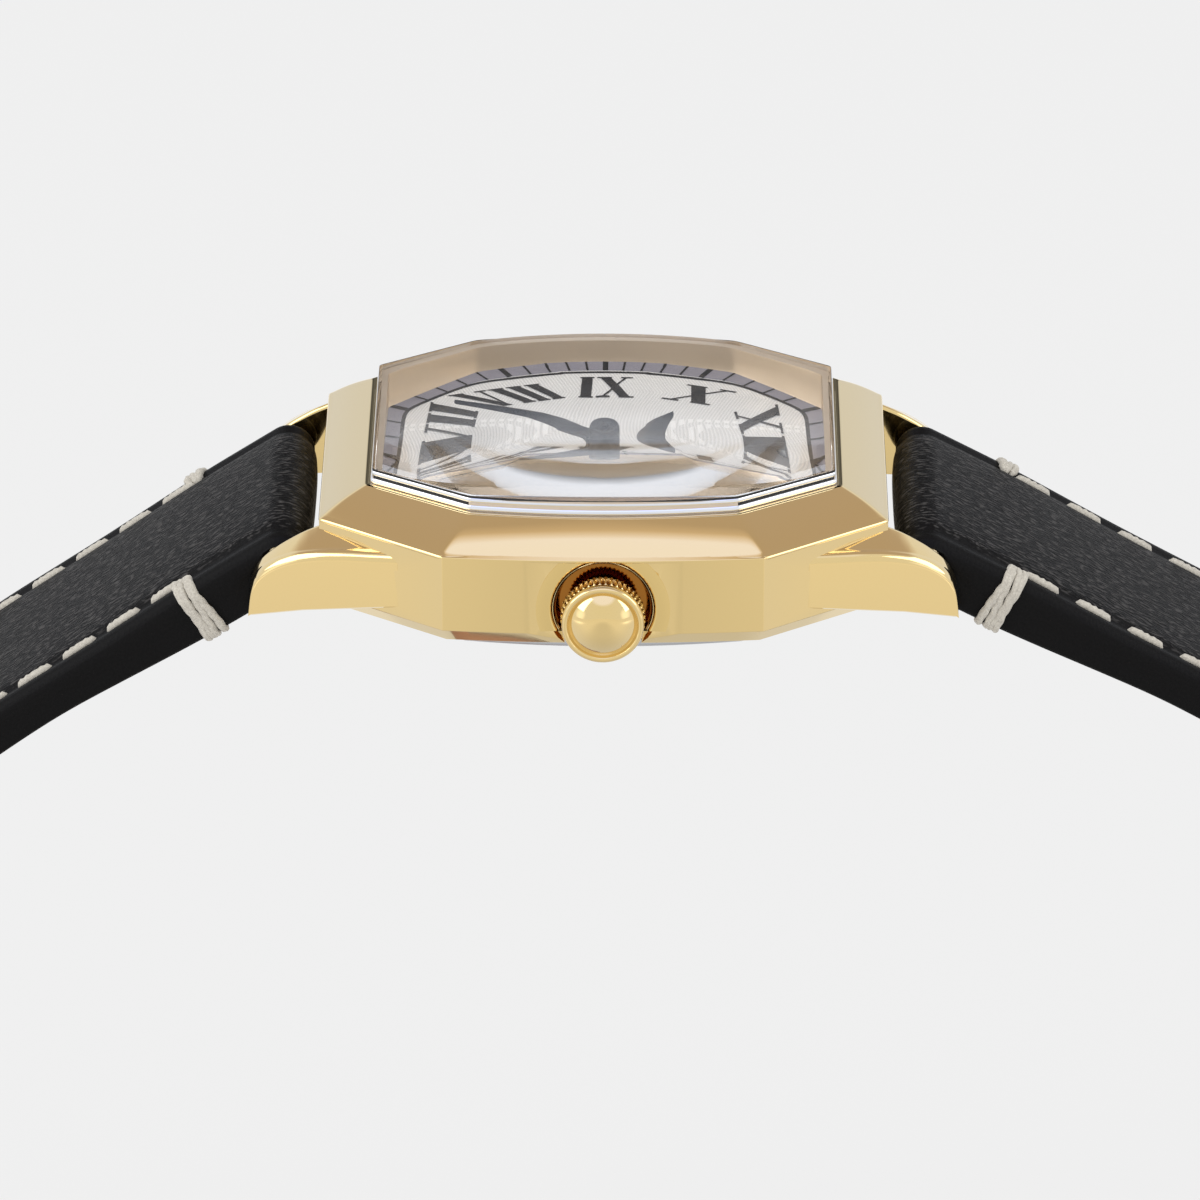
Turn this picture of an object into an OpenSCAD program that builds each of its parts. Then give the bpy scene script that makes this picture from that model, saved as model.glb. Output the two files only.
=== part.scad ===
// A small dress watch with a quartz movement: tonneau case with eight sides, leather strap and pin buckle.
// The origin is the middle of the case back's outer face. +Z points out of the dial, +X to 12 o'clock,
// and -Y to 3 o'clock, where the crown is. The strap stands open, as it leaves its box, and the whole
// watch rests on the long strap's tail and the buckle.

/* [Case] */
// Half length of the case wall, from the middle to its 12 o'clock end
case_len = 13.9; // [13.6:0.1:14.2]
// Half width of the case wall at 3 o'clock
case_mid = 12.4; // [12.3:0.1:12.8]
// Half width of the case wall at its 12 o'clock end
case_end = 7.6; // [7.4:0.1:7.8]
// Where along the length the bowed side meets the oblique one
case_turn_x = 7.8; // [7.4:0.1:8.0]
// Half width of the case wall at that turn
case_turn_y = 12.0; // [11.9:0.1:12.1]
// Height of the case back's plate
back_h = 0.7; // [0.6:0.05:0.8]
// Height of the lower bevel
bevel_h = 0.7; // [0.5:0.05:0.8]
// How far the lower bevel draws in
bevel_in = 0.5; // [0.3:0.05:0.8]
// Height of the upright side wall
wall_h = 3.9; // [3.8:0.1:4.2]
// Height of the sloping bezel
slope_h = 1.36; // [1.2:0.02:1.5]
// Radius of the rounded ends, seen from the side
end_r = 5.2; // [5:0.1:6]
// Gap between the crystal and the bezel's lip
lip_gap = 0.12; // [0.08:0.01:0.2]

/* [Crystal] */
// Half length of the crystal
glass_len = 11.3; // [11.0:0.1:11.4]
// Half width of the crystal at 3 o'clock
glass_mid = 10.1; // [10.0:0.05:10.3]
// Half width of the crystal at its 12 o'clock end
glass_end = 6.3; // [6.2:0.1:6.5]
// Where along the length the crystal's bowed side ends
glass_turn_x = 6.45; // [6.2:0.05:6.6]
// Half width of the crystal at that turn
glass_turn_y = 9.5; // [9.4:0.05:9.6]
// How far the crystal's edge stands above the bezel's lip at 3 o'clock
glass_proud = 0.92; // [0.8:0.02:1.0]
// Radius of the crystal's domed face, seen from 12 o'clock
dome_r_across = 57; // [50:1:70]
// Radius of the crystal's domed face, seen from 3 o'clock
dome_r_along = 83; // [70:1:100]
// Depth of the crystal's flat underside below the bezel's lip
glass_sunk = 0.38; // [0.3:0.02:0.45]
// Width of the bevel round the crystal's edge
glass_bevel = 0.16; // [0.1:0.01:0.25]

/* [Dial and hands] */
// How far the opening over the dial lies inside the crystal's edge
rehaut_in = 0.55; // [0.45:0.05:0.7]
// Height of the wall between the dial and the crystal's seat
rehaut_h = 1.78; // [1.7:0.02:1.8]
// Thickness of the dial
dial_t = 0.4; // [0.3:0.05:0.4]
// How far the dial's edge reaches under the wall round it
dial_lap = 0.5; // [0.3:0.05:0.6]
// Length of the minute hand from its axis
minute_len = 8.0; // [7:0.1:8.6]
// Length of the hour hand from its axis
hour_len = 4.4; // [4.2:0.1:5.0]
// Greatest width of the minute hand
minute_w = 1.05; // [0.8:0.05:1.2]
// Greatest width of the hour hand
hour_w = 1.35; // [1.1:0.05:1.6]
// Outer radius of both hands' hubs
hub_r = 0.72; // [0.68:0.02:0.8]
// Minutes shown
minutes = 34.2; // [0:0.2:59.8]
// Hours shown
hours = 10.57; // [0:0.01:11.99]

/* [Lugs and spring bars] */
// Half distance between the outer faces of a pair of lugs at their roots
lug_out = 10.4; // [10.2:0.1:10.6]
// How much narrower a lug gets per millimetre towards its tip
lug_taper = 0.3; // [0.2:0.02:0.32]
// Half distance between the inner faces of a pair of lugs
lug_in = 7.2; // [7.1:0.1:7.4]
// Distance from the case's end to the spring bar's axis
bar_gap = 2.0; // [1.9:0.05:2.1]
// How far the lugs reach past the spring bar's axis
lug_over = 1.5; // [1.4:0.05:1.8]
// How far a spring bar's tips stand in the lugs
tip_reach = 0.8; // [0.7:0.05:0.9]
// Height of the spring bars' axis
bar_z = 2.75; // [2.6:0.05:2.9]
// Radius of a spring bar's tube
bar_r = 0.75; // [0.7:0.01:0.75]
// Radius of a spring bar's tips
bar_tip_r = 0.4; // [0.35:0.01:0.45]

/* [Crown] */
// Radius of the crown's ring
crown_r = 2.0; // [1.9:0.05:2.1]
// Height of the crown's axis
crown_z = 2.6; // [2.55:0.05:2.7]
// Distance of the crown's front ring from the dial's axis
crown_front = 14.0; // [13.9:0.05:14.2]
// Teeth round the crown
crown_teeth = 40; // [32:1:44]
// Travel of the crown when it is pulled out
crown_pull = 0.9; // [0.8:0.05:1.0]
// Radius of the stem
stem_r = 0.4; // [0.35:0.01:0.42]
// Depth of the pocket round the crown
pocket_d = 0.95; // [0.8:0.05:1.0]
// Depth of the shallow scoop beside the pocket
scoop_d = 0.4; // [0.3:0.05:0.5]

/* [Strap] */
// Width of the strap at the lugs
strap_w = 14.0; // [13.6:0.1:14.1]
// Width of the strap at the buckle and along its tail
tail_w = 12.0; // [11.6:0.1:12.4]
// Thickness of the strap by the lugs
pad_t = 2.9; // [2.7:0.1:3.0]
// Thickness of the strap past its padding
strap_t = 2.1; // [1.9:0.05:2.2]
// Thickness of the lining leather
lining_t = 0.7; // [0.6:0.05:0.8]
// How much lower the strap's edges are than its padded middle
crown_drop = 0.55; // [0.4:0.05:0.7]
// Length of the 6 o'clock strap, from bar to tip
long_strap = 100; // [96:1:102]
// Height of the watch's head above the surface it stands on
stand_h = 55.8; // [54:0.2:57]
// Number of buckle holes
hole_count = 7; // [5:1:7]
// Distance between buckle holes
hole_step = 6; // [5:0.5:6]
// Radius of a buckle hole
hole_r = 0.8; // [0.75:0.05:0.9]
// Wall of the keeper loops
keeper_t = 0.8; // [0.7:0.05:0.9]
// Width of the keeper loops along the strap
keeper_w = 4.6; // [4:0.1:5]

/* [Buckle] */
// Length of the buckle from its bar to its front edge
buckle_len = 9.6; // [9.2:0.1:10]
// Half width of the buckle's opening
buckle_in = 6.5; // [6.4:0.1:6.8]
// Width of the buckle's side arms and front bar
buckle_rim = 1.7; // [1.5:0.1:1.8]
// Radius of the buckle's bar
pin_r = 0.6; // [0.55:0.01:0.62]
// Width of the tongue
tongue_w = 1.7; // [1.5:0.1:1.8]

/* [Movement] */
// Half length of the movement, towards 12 o'clock
move_len = 9.1; // [9.0:0.05:9.2]
// Half width of the movement, towards 3 o'clock
move_mid = 7.7; // [7.6:0.05:7.8]
// Radius of the silver oxide cell
cell_r = 3.4; // [3.35:0.01:3.4]
// Thickness of the cell
cell_t = 1.65; // [1.6:0.01:1.65]
// Gear module of the wheel train
train_mod = 0.07; // [0.07:0.001:0.071]
// Gear module of the cannon pinion and minute wheel
motion_mod = 0.1; // [0.098:0.001:0.101]

/* [Hidden] */
$fn = 48;

// Clearances
run_gap = 0.05;      // a shaft in its bore, on the radius
flat_gap = 0.05;     // two faces that pass each other
eps = 0.01;          // a cut runs this far past a face

// Levels
bevel_z = back_h;
wall_z = bevel_z + bevel_h;
slope_z = wall_z + wall_h;
lip_z = slope_z + slope_h;
glass_z = lip_z - glass_sunk;
glass_top = lip_z + glass_proud + glass_mid * glass_mid / 2 / dome_r_across;
dial_z = glass_z - rehaut_h;
dial_low = dial_z - dial_t;

// The eight-sided outline: two straight ends, four oblique sides and two bowed sides. The outline
// grows by moving every side out by the same distance, so walls and gaps stay even all round.
function side_shape(len, mid, turn_x, turn_y, end_y) =
    let (dx = len - turn_x, dy = turn_y - end_y, d = norm([dx, dy]))
    [len, mid, (turn_x * turn_x + (mid - turn_y) * (mid - turn_y)) / (2 * (mid - turn_y)),
     [dy / d, dx / d], (dy * turn_x + dx * turn_y) / d];

function side_turn(shape, grow) =
    let (r = shape[2] + grow, c = [0, shape[1] - shape[2]], n = shape[3],
         h = shape[4] + grow - n * c, k = sqrt(r * r - h * h))
    c + h * n - k * [n.y, -n.x];

function outline(shape, grow = 0, steps = 12) =
    let (len = shape[0] + grow, n = shape[3], corner = [len, (shape[4] + grow - n.x * len) / n.y],
         t = side_turn(shape, grow), r = shape[2] + grow, cy = shape[1] - shape[2],
         a = asin(t.x / r),
         bow = [for (i = [0:steps]) let (f = a - 2 * a * i / steps) [r * sin(f), cy + r * cos(f)]])
    concat([corner], bow, [[-corner.x, corner.y]],
           [for (p = [[-corner.x, corner.y]]) [p.x, -p.y]], -bow, [[corner.x, -corner.y]]);

case_shape = side_shape(case_len, case_mid, case_turn_x, case_turn_y, case_end);
glass_shape = side_shape(glass_len, glass_mid, glass_turn_x, glass_turn_y, glass_end);

// A solid between rings of points. Every ring has the same count of points and runs clockwise, seen
// from outside the first ring.
function is_flat(a, b, c, d) = abs(cross(b - a, c - a) * (d - a)) < 1e-7;
module loft(rings) {
    n = len(rings[0]);
    m = len(rings);
    points = [for (r = rings) each r];
    polyhedron(
        points = points,
        faces = concat(
            [[for (i = [0:n - 1]) i]],
            [for (k = [0:m - 2], i = [0:n - 1]) let (j = (i + 1) % n, a = k * n, b = a + n)
                each is_flat(points[a + i], points[b + i], points[b + j], points[a + j])
                    ? [[a + i, b + i, b + j, a + j]]
                    : [[a + i, b + j, a + j], [a + i, b + i, b + j]]],
            [[for (i = [n - 1:-1:0]) (m - 1) * n + i]]));
}

function ring(shape, grow, z) = [for (p = outline(shape, grow)) [p.x, p.y, z]];

module slab(shape, grow, z0, z1) {
    translate([0, 0, z0]) linear_extrude(z1 - z0) polygon(outline(shape, grow));
}

// Gears: straight flanks that meet with a little backlash
gear_lash = 0.1;     // share of the tooth's width that is left free
function gear_r(teeth, mod) = teeth * mod / 2;
function gear_points(teeth, mod) =
    let (r = gear_r(teeth, mod), tip = r + 0.85 * mod, root = r - 1.15 * mod, p = 360 / teeth,
         w = p * (1 - gear_lash))
    [for (i = [0:teeth - 1]) let (a = i * p)
        each [root * [cos(a - 0.32 * w), sin(a - 0.32 * w)], tip * [cos(a - 0.12 * w), sin(a - 0.12 * w)],
              tip * [cos(a + 0.12 * w), sin(a + 0.12 * w)], root * [cos(a + 0.32 * w), sin(a + 0.32 * w)]]];

module gear(teeth, mod, z, h, turn = 0) {
    translate([0, 0, z]) rotate(turn) linear_extrude(h) polygon(gear_points(teeth, mod));
}

module rod(r, z0, z1) {
    translate([0, 0, z0]) cylinder(r = r, h = z1 - z0);
}

// Case: wall, bezel and lower bevel
cavity_grow = rehaut_in * -1 + dial_lap;        // the space for the movement, from the crystal's outline
seat_grow = lip_gap;
back_step = 0.35;                               // the case back's gasket lies in this step
back_step_h = 0.65;
back_lap = 0.9;                                 // the case back's edge outside the crystal's outline
pocket_r = crown_r + 0.65;
scoop_r = 22;
tube_r = 0.9;
lip_w = lip_gap + 0.14;

// End profile, seen from 3 o'clock: the bezel's top runs into a rounded end
end_top_x = glass_len + lip_w + 0.05;
module end_profile() {
    // Each end is an arc that runs through the lip's edge and the wall's top edge
    chord = norm([case_len - end_top_x, slope_h]);
    mid = [(case_len + end_top_x) / 2, (lip_z + slope_z) / 2];
    away = sqrt(end_r * end_r - chord * chord / 4);
    back = [-slope_h, -(case_len - end_top_x)] / chord;
    c = mid + away * back;
    for (s = [0, 1]) mirror([s, 0]) {
        intersection() {
            translate(c) circle(r = end_r, $fn = 96);
            translate([c.x, slope_z]) square([case_len - c.x, lip_z + 1 - slope_z]);
        }
        translate([-eps, bevel_z - 1]) square([case_len + 1, slope_z - bevel_z + 1]);
        translate([-eps, slope_z - eps]) square([end_top_x + eps, slope_h + 1]);
    }
}

module case_form() {
    intersection() {
        loft([ring(case_shape, -bevel_in, bevel_z), ring(case_shape, 0, wall_z),
              ring(case_shape, 0, slope_z), ring(glass_shape, lip_w, lip_z)]);
        rotate([90, 0, 0]) linear_extrude(2 * case_mid + 2, center = true) end_profile();
    }
}

// A lug is drawn between the outlines of its outer and its inner side. Their points count from the bar's axis
// and from the lug's highest point at its root.
bar_x = case_len + bar_gap;
lug_root = 5.9;
lug_top_z = slope_z - 0.77;
lug_low = slope_z - 4.96;
function lug_side(out) =
    let (a = out ? [[-lug_root, 0], [-3.3, -0.34], [-1.9, -0.58], [-0.7, -0.87], [0.2, -1.28], [1, -2.02],
                    [1.25, -2.58]]
                 : [[-lug_root, 0.7], [-3.3, 0.7], [-2.25, 0.55], [-1.2, 0.08], [-0.1, -0.6], [0.8, -1.3],
                    [1.35, -2.1]])
    concat([for (p = a) [bar_x + p.x, lug_top_z + p.y]],
           [for (p = [[lug_over, 0], [-1.2, 0.66], [-3.3, 1.04], [-lug_root, 1.5]]) [bar_x + p.x, lug_low + p.y]]);

tip_gap = 0.15;
module lug() {
    loft([[for (p = lug_side(true)) [p.x, -lug_out + lug_taper * (p.x - bar_x + lug_root), p.y]],
          [for (p = lug_side(false)) [p.x, -lug_in, p.y]]]);
}

module crown_cut() {
    // The pocket round the crown, the shallow scoop beside it, and the tube's bore
    translate([0, -case_mid + pocket_d, crown_z]) rotate([90, 0, 0]) cylinder(r = pocket_r, h = 4);
    translate([0, -case_mid - scoop_r + scoop_d, 0]) rod(scoop_r, 0, slope_z - 0.12, $fn = 96);
    translate([0, -case_mid + pocket_d - eps, crown_z]) rotate([-90, 0, 0]) cylinder(r = tube_r, h = 3);
}

module case() {
    color("gold")
    difference() {
        union() {
            case_form();
            for (x = [0, 1], y = [0, 1]) mirror([x, 0, 0]) mirror([0, y, 0]) lug();
        }
        slab(glass_shape, seat_grow, glass_z, lip_z + 1);
        slab(glass_shape, -rehaut_in, dial_z - eps, glass_z + eps);
        slab(glass_shape, cavity_grow, bevel_z - eps, dial_z);
        slab(glass_shape, cavity_grow + back_step, bevel_z - eps, back_h + back_step_h);
        crown_cut();
        for (x = [-1, 1]) translate([x * bar_x, 0, bar_z]) rotate([90, 0, 0])
            cylinder(r = bar_tip_r + run_gap, h = 2 * (lug_in + tip_reach + tip_gap), center = true);
    }
}

function dome_z(p) = glass_top - p.x * p.x / 2 / dome_r_along - p.y * p.y / 2 / dome_r_across;
function dome_ring(grow, share, below) =
    [for (p = outline(glass_shape, grow)) let (q = share * p) [q.x, q.y, dome_z(q) - below]];

module crystal() {
    color("white", 0.4)
    // The face is domed more across than along, so its rim stands lower at the corners
    loft(concat([ring(glass_shape, 0, glass_z + 0.02), dome_ring(0, 1, glass_bevel)],
                [for (f = [1:-0.2:0.2]) dome_ring(-glass_bevel, f, 0)]));
}

module crystal_gasket() {
    color("dimgray")
    difference() {
        slab(glass_shape, seat_grow, glass_z, glass_z + 0.02);
        slab(glass_shape, -rehaut_in, glass_z - 1, glass_z + 1);
    }
    color("dimgray")
    difference() {
        slab(glass_shape, seat_grow, glass_z + 0.02, lip_z - 0.06);
        slab(glass_shape, 0, glass_z, lip_z + 1);
    }
}

module dial() {
    color("ivory")
    difference() {
        slab(glass_shape, cavity_grow - 0.03, dial_low, dial_z);
        rod(hub_r + 0.13, dial_low - 1, dial_z + 1);
    }
}

// Hands. An angle is counted from 12 o'clock, and the hands turn clockwise seen from above.
// The heights below are those of the hubs' lower faces.
hub_gap = 0.3;                                  // the hour hand's hub above the dial
hand_t = 0.13;
hour_hub_h = 0.5;
hour_z = dial_z + hub_gap;
minute_z = hour_z + hour_hub_h + flat_gap;
minute_hub_h = 0.36;
pipe_r = 0.42;                                  // the cannon pinion's pipe
hour_pipe_r = 0.62;                             // the hour wheel's pipe

module hand_blade(len, wide, neck, tip, belly) {
    polygon([[0, -neck / 2], [hub_r + 0.2, -neck / 2], [belly, -wide / 2], [len - 0.15, -tip / 2], [len, 0],
             [len - 0.15, tip / 2], [belly, wide / 2], [hub_r + 0.2, neck / 2], [0, neck / 2]]);
}

module minute_hand() {
    color("darkslategray") rotate(-6 * minutes)
    difference() {
        union() {
            translate([0, 0, minute_z + 0.1]) linear_extrude(hand_t)
                hand_blade(minute_len, minute_w, 0.5, 0.36, hub_r + 1.1);
            rod(hub_r, minute_z, minute_z + minute_hub_h);
        }
        rod(pipe_r, minute_z - 1, minute_z + 0.2);
    }
}

module hour_hand() {
    color("darkslategray") rotate(-30 * hours)
    difference() {
        union() {
            translate([0, 0, hour_z + 0.25]) linear_extrude(hand_t)
                hand_blade(hour_len, hour_w, 0.55, 0.3, hub_r + 1.5);
            rod(hub_r, hour_z, hour_z + hour_hub_h);
        }
        rod(hour_pipe_r, hour_z - 1, hour_z + 0.32);
        rod(pipe_r + run_gap + 0.02, hour_z - 1, hour_z + 1);
    }
}

// Movement levels, from the case back up
cell_z = 1.15;
plate_z = cell_z + cell_t;
plate_t = 0.6;
motion_z = plate_z + plate_t + flat_gap;
bridge_z = 1.0;
bridge_t = 0.3;
centre_z = plate_z - 0.3;
third_z = centre_z - 0.5;
inter_z = third_z - 0.45;
wheel_t = 0.18;

// The train: 60 and 10, 50 and 10, 24 and 8 teeth, which is 90 turns of the rotor in an hour
centre_teeth = 60;
third_teeth = 50;
inter_teeth = 24;
leaf_teeth = 10;
rotor_teeth = 8;
cannon_teeth = 12;
minute_teeth = 36;
minute_leaf = 10;
hour_teeth = 40;
hour_mod = motion_mod * (cannon_teeth + minute_teeth) / (minute_leaf + hour_teeth);

function away(p, a, d) = p + d * [cos(a), sin(a)];
third_a = 50;
inter_a = 10;
rotor_a = -50;
minute_a = -90;
third_p = away([0, 0], third_a, gear_r(centre_teeth + leaf_teeth, train_mod));
inter_p = away(third_p, inter_a, gear_r(third_teeth + leaf_teeth, train_mod));
rotor_p = away(inter_p, rotor_a, gear_r(inter_teeth + rotor_teeth, train_mod));
minute_p = away([0, 0], minute_a, gear_r(cannon_teeth + minute_teeth, motion_mod));

// A pinion's turn that puts a gap where the driving wheel, itself turned by t, has a tooth
function mesh_turn(teeth, t, other, a) = let (p = 360 / teeth) a + 180 + p / 2 + (a - t) * other / teeth;
centre_turn = 0;
third_leaf_turn = mesh_turn(leaf_teeth, centre_turn, centre_teeth, third_a);
third_turn = third_leaf_turn;
inter_leaf_turn = mesh_turn(leaf_teeth, third_turn, third_teeth, inter_a);
inter_turn = inter_leaf_turn;
rotor_turn = mesh_turn(rotor_teeth, inter_turn, inter_teeth, rotor_a);
minute_turn = mesh_turn(minute_teeth, 0, cannon_teeth, minute_a);
hour_turn = mesh_turn(hour_teeth, minute_turn, minute_leaf, minute_a + 180);

arbor_r = 0.14;
pivot_gap = 0.03;
arbor_low = bridge_z + 0.05;
arbor_high = plate_z + 0.4;

module arbor(p) {
    translate([p.x, p.y, 0]) rod(arbor_r, arbor_low, arbor_high);
}

module cannon_pinion() {
    color("goldenrod")
    union() {
        gear(centre_teeth, train_mod, centre_z, wheel_t, centre_turn);
        rod(arbor_r, arbor_low, centre_z + eps);
        rod(pipe_r - 0.02, centre_z, minute_z + 0.19);
        gear(cannon_teeth, motion_mod, motion_z, 0.26);
    }
}

module hour_wheel() {
    color("goldenrod")
    difference() {
        union() {
            gear(hour_teeth, hour_mod, motion_z + 0.32, wheel_t, hour_turn);
            rod(hour_pipe_r - 0.02, motion_z + 0.32, hour_z + 0.3);
        }
        rod(pipe_r + run_gap, motion_z, hour_z + 1);
    }
}

module minute_wheel() {
    color("goldenrod") translate([minute_p.x, minute_p.y, 0])
    difference() {
        union() {
            gear(minute_teeth, motion_mod, motion_z, wheel_t, minute_turn);
            gear(minute_leaf, hour_mod, motion_z + wheel_t - eps, 0.36, minute_turn);
        }
        rod(0.2 + pivot_gap, motion_z - 1, motion_z + 1);
    }
}

module third_wheel() {
    color("goldenrod") union() {
        arbor(third_p);
        translate([third_p.x, third_p.y, 0]) {
            gear(leaf_teeth, train_mod, third_z + wheel_t, centre_z - third_z + 0.02, third_leaf_turn);
            gear(third_teeth, train_mod, third_z, wheel_t + eps, third_turn);
        }
    }
}

module intermediate_wheel() {
    color("white") union() {
        arbor(inter_p);
        translate([inter_p.x, inter_p.y, 0]) {
            gear(leaf_teeth, train_mod, inter_z + wheel_t, third_z - inter_z + 0.02, inter_leaf_turn);
            gear(inter_teeth, train_mod, inter_z, wheel_t + eps, inter_turn);
        }
    }
}

magnet_r = 0.5;
magnet_z = third_z + 0.12;
module rotor() {
    color("silver") union() {
        arbor(rotor_p);
        translate([rotor_p.x, rotor_p.y, 0]) {
            gear(rotor_teeth, train_mod, inter_z - 0.05, magnet_z - inter_z + 0.05 + eps, rotor_turn);
            rod(magnet_r, magnet_z, plate_z - 0.06);
        }
    }
}

cell_p = [-5.45, 1.3];
stem_hole_r = stem_r + run_gap;

module move_outline(grow = 0) {
    intersection() {
        circle(r = move_len + grow, $fn = 96);
        square([2 * (move_len + grow) + 1, 2 * (move_mid + grow)], center = true);
    }
}

module arbor_holes(z0, z1) {
    for (p = [third_p, inter_p, rotor_p]) translate([p.x, p.y, 0]) rod(arbor_r + pivot_gap, z0, z1);
}

screws = [[5.0, 5.4], [-0.6, 6.4], [3.4, -2.6]];

module main_plate() {
    color("lightgoldenrodyellow")
    difference() {
        union() {
            translate([0, 0, plate_z]) linear_extrude(plate_t) move_outline();
            // The block that carries the stem, above the setting lever
            translate([-1.4, -move_mid + 0.6, lever_top + 0.08]) cube([2.8, 1.9, plate_z - lever_top]);
            // The setting lever's pivot
            translate([lever_p.x, lever_p.y, 0]) rod(lever_pivot_r, lever_top - lever_t - 0.05, plate_z + eps);
            translate([lever_p.x, lever_p.y, 0]) rod(0.4, lever_top + flat_gap, plate_z + eps);
            for (s = screws) translate([s.x, s.y, 0]) rod(0.75, bridge_z + bridge_t, plate_z + eps);
            // The post of the minute wheel
            translate([minute_p.x, minute_p.y, 0]) rod(0.2, plate_z + plate_t - eps, motion_z + 0.5);
        }
        rod(pipe_r + 0.02, plate_z - 1, plate_z + 2);
        arbor_holes(plate_z - 1, arbor_high + flat_gap);
        for (s = screws) translate([s.x, s.y, 0]) rod(0.4, 0, plate_z + 0.3);
        translate([0, -3.6, crown_z]) rotate([90, 0, 0]) cylinder(r = stem_hole_r, h = 8);
        // The slot for the lever's pin in the block
        translate([-0.1, groove_y - crown_pull - 0.3, lever_top]) cube([0.6, crown_pull + 0.6, crown_z - lever_top]);
        // The window for the clutch wheel
        translate([-0.95, clutch_y - 0.1, crown_z]) cube([1.9, 1.15, 2]);
    }
}

module train_bridge() {
    color("silver")
    difference() {
        translate([0, 0, bridge_z]) linear_extrude(bridge_t) intersection() {
            move_outline(-0.4);
            polygon([[-1.4, 7.6], [6, 7.6], [6, -2.2], [4.6, -3.6], [2.2, -3.6], [-1.2, -1.6], [-1.2, 4.6]]);
        }
        translate([cell_p.x, cell_p.y, 0]) rod(cell_r + 0.25, 0, 3);
        rod(arbor_r + pivot_gap, bridge_z - 1, bridge_z + 1);
        arbor_holes(bridge_z - 1, bridge_z + 1);
        for (s = screws) translate([s.x, s.y, 0]) rod(0.4 + flat_gap, 0, 3);
    }
}

screw_head = 0.25;
module bridge_screws() {
    color("silver")
    for (s = screws) translate([s.x, s.y, 0]) difference() {
        union() {
            rod(0.7, bridge_z - screw_head, bridge_z);
            rod(0.38, bridge_z - eps, plate_z + 0.2);
        }
        translate([-1, -0.09, bridge_z - screw_head - eps]) cube([2, 0.18, 0.12]);
    }
}

module circuit_board() {
    color("darkgreen")
    difference() {
        translate([0, 0, plate_z - 0.35]) linear_extrude(0.35) intersection() {
            move_outline(-0.3);
            polygon([[-8.4, -2.6], [-2.9, -2.6], [-1.8, -3.4], [-1.8, -7.2], [-8.4, -7.2]]);
        }
        translate([cell_p.x, cell_p.y, 0]) rod(cell_r + 0.15, 0, 5);
    }
    // The chip under its drop of resin
    color("black") translate([-3.2, -4.1, 0]) rod(0.7, plate_z - 0.65, plate_z - 0.35 + eps);
}

module quartz_can() {
    color("silver")
    translate([-6.2, -5.65, plate_z - 0.35 - 0.6]) rotate([0, 90, 0]) cylinder(r = 0.6, h = 4.2);
}

coil_x = 7.2;
coil_half = 2.6;
stator_z = plate_z - 0.55;
module stator() {
    color("lightgray")
    difference() {
        union() {
            translate([rotor_p.x, rotor_p.y, 0]) rod(1.25, stator_z, stator_z + 0.5);
            for (s = [-1, 1]) translate([0, 0, stator_z]) linear_extrude(0.5)
                polygon([[rotor_p.x + 0.3, rotor_p.y + s * 0.9], [rotor_p.x + 0.9, rotor_p.y - s * 0.2],
                    [coil_x + 0.5, s * (coil_half - 0.1)], [coil_x + 0.5, s * (coil_half + 1.1)],
                    [coil_x - 0.9, s * (coil_half + 1.1)]]);
        }
        translate([rotor_p.x, rotor_p.y, 0]) rod(magnet_r + 0.12, 0, 5);
        translate([inter_p.x, inter_p.y, 0]) rod(arbor_r + 0.1, 0, 5);
    }
}

module coil() {
    color("peru") translate([coil_x, 0, stator_z - 0.76]) rotate([90, 0, 0])
        cylinder(r = 0.72, h = 2 * coil_half, center = true);
    color("black") for (s = [-1, 1]) translate([coil_x - 0.85, s * (coil_half + 0.2) - 0.2, stator_z - 1.5])
        cube([1.7, 0.4, 1.5]);
}

module battery() {
    color("silver") translate([cell_p.x, cell_p.y, 0]) difference() {
        union() {
            rod(cell_r, cell_z, plate_z - 0.35);
            rod(cell_r - 0.5, plate_z - 0.35 - eps, plate_z);
        }
    }
}

module battery_clamp() {
    color("silver")
    translate([0, 0, cell_z - 0.2]) linear_extrude(0.2) difference() {
        intersection() {
            move_outline(-0.2);
            union() {
                translate(cell_p) rotate(-20) square([2.2, 2 * cell_r + 2.2], center = true);
                translate(cell_p) circle(r = 1.8);
            }
        }
        translate(cell_p) circle(r = 0.9);
    }
}

module movement_holder() {
    color("whitesmoke")
    difference() {
        slab(glass_shape, cavity_grow - 0.08, cell_z, dial_low);
        translate([0, 0, cell_z - 1]) linear_extrude(6) move_outline(0.08);
        translate([0, 0, crown_z]) rotate([90, 0, 0]) cylinder(r = 1.1, h = 20);
    }
}

// Keyless works: the stem slides through the square of the clutch wheel, and the lever's pin runs in
// the stem's groove
groove_y = -move_mid + 1.6;
groove_half = 0.28;
lever_arm = 1.9;
lever_pin_r = 0.2;
lever_pivot_r = 0.17;
lever_t = 0.25;
lever_top = crown_z - 0.7;
lever_p = [lever_arm + 0.15, groove_y - crown_pull / 2];
clutch_y = -4.75;
clutch_teeth = 14;

module along_stem(y0, y1, r) {
    translate([0, y1, crown_z]) rotate([90, 0, 0]) cylinder(r = r, h = y1 - y0);
}

module stem() {
    color("silver")
    difference() {
        union() {
            along_stem(-crown_front + 0.35, clutch_y - 0.5, stem_r);
            translate([-0.25, clutch_y - 0.5 - eps, crown_z - 0.25]) cube([0.5, 1.6, 0.5]);
        }
        difference() {
            along_stem(groove_y - groove_half, groove_y + groove_half, stem_r + 1);
            along_stem(groove_y - 1, groove_y + 1, 0.24);
        }
    }
}

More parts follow.
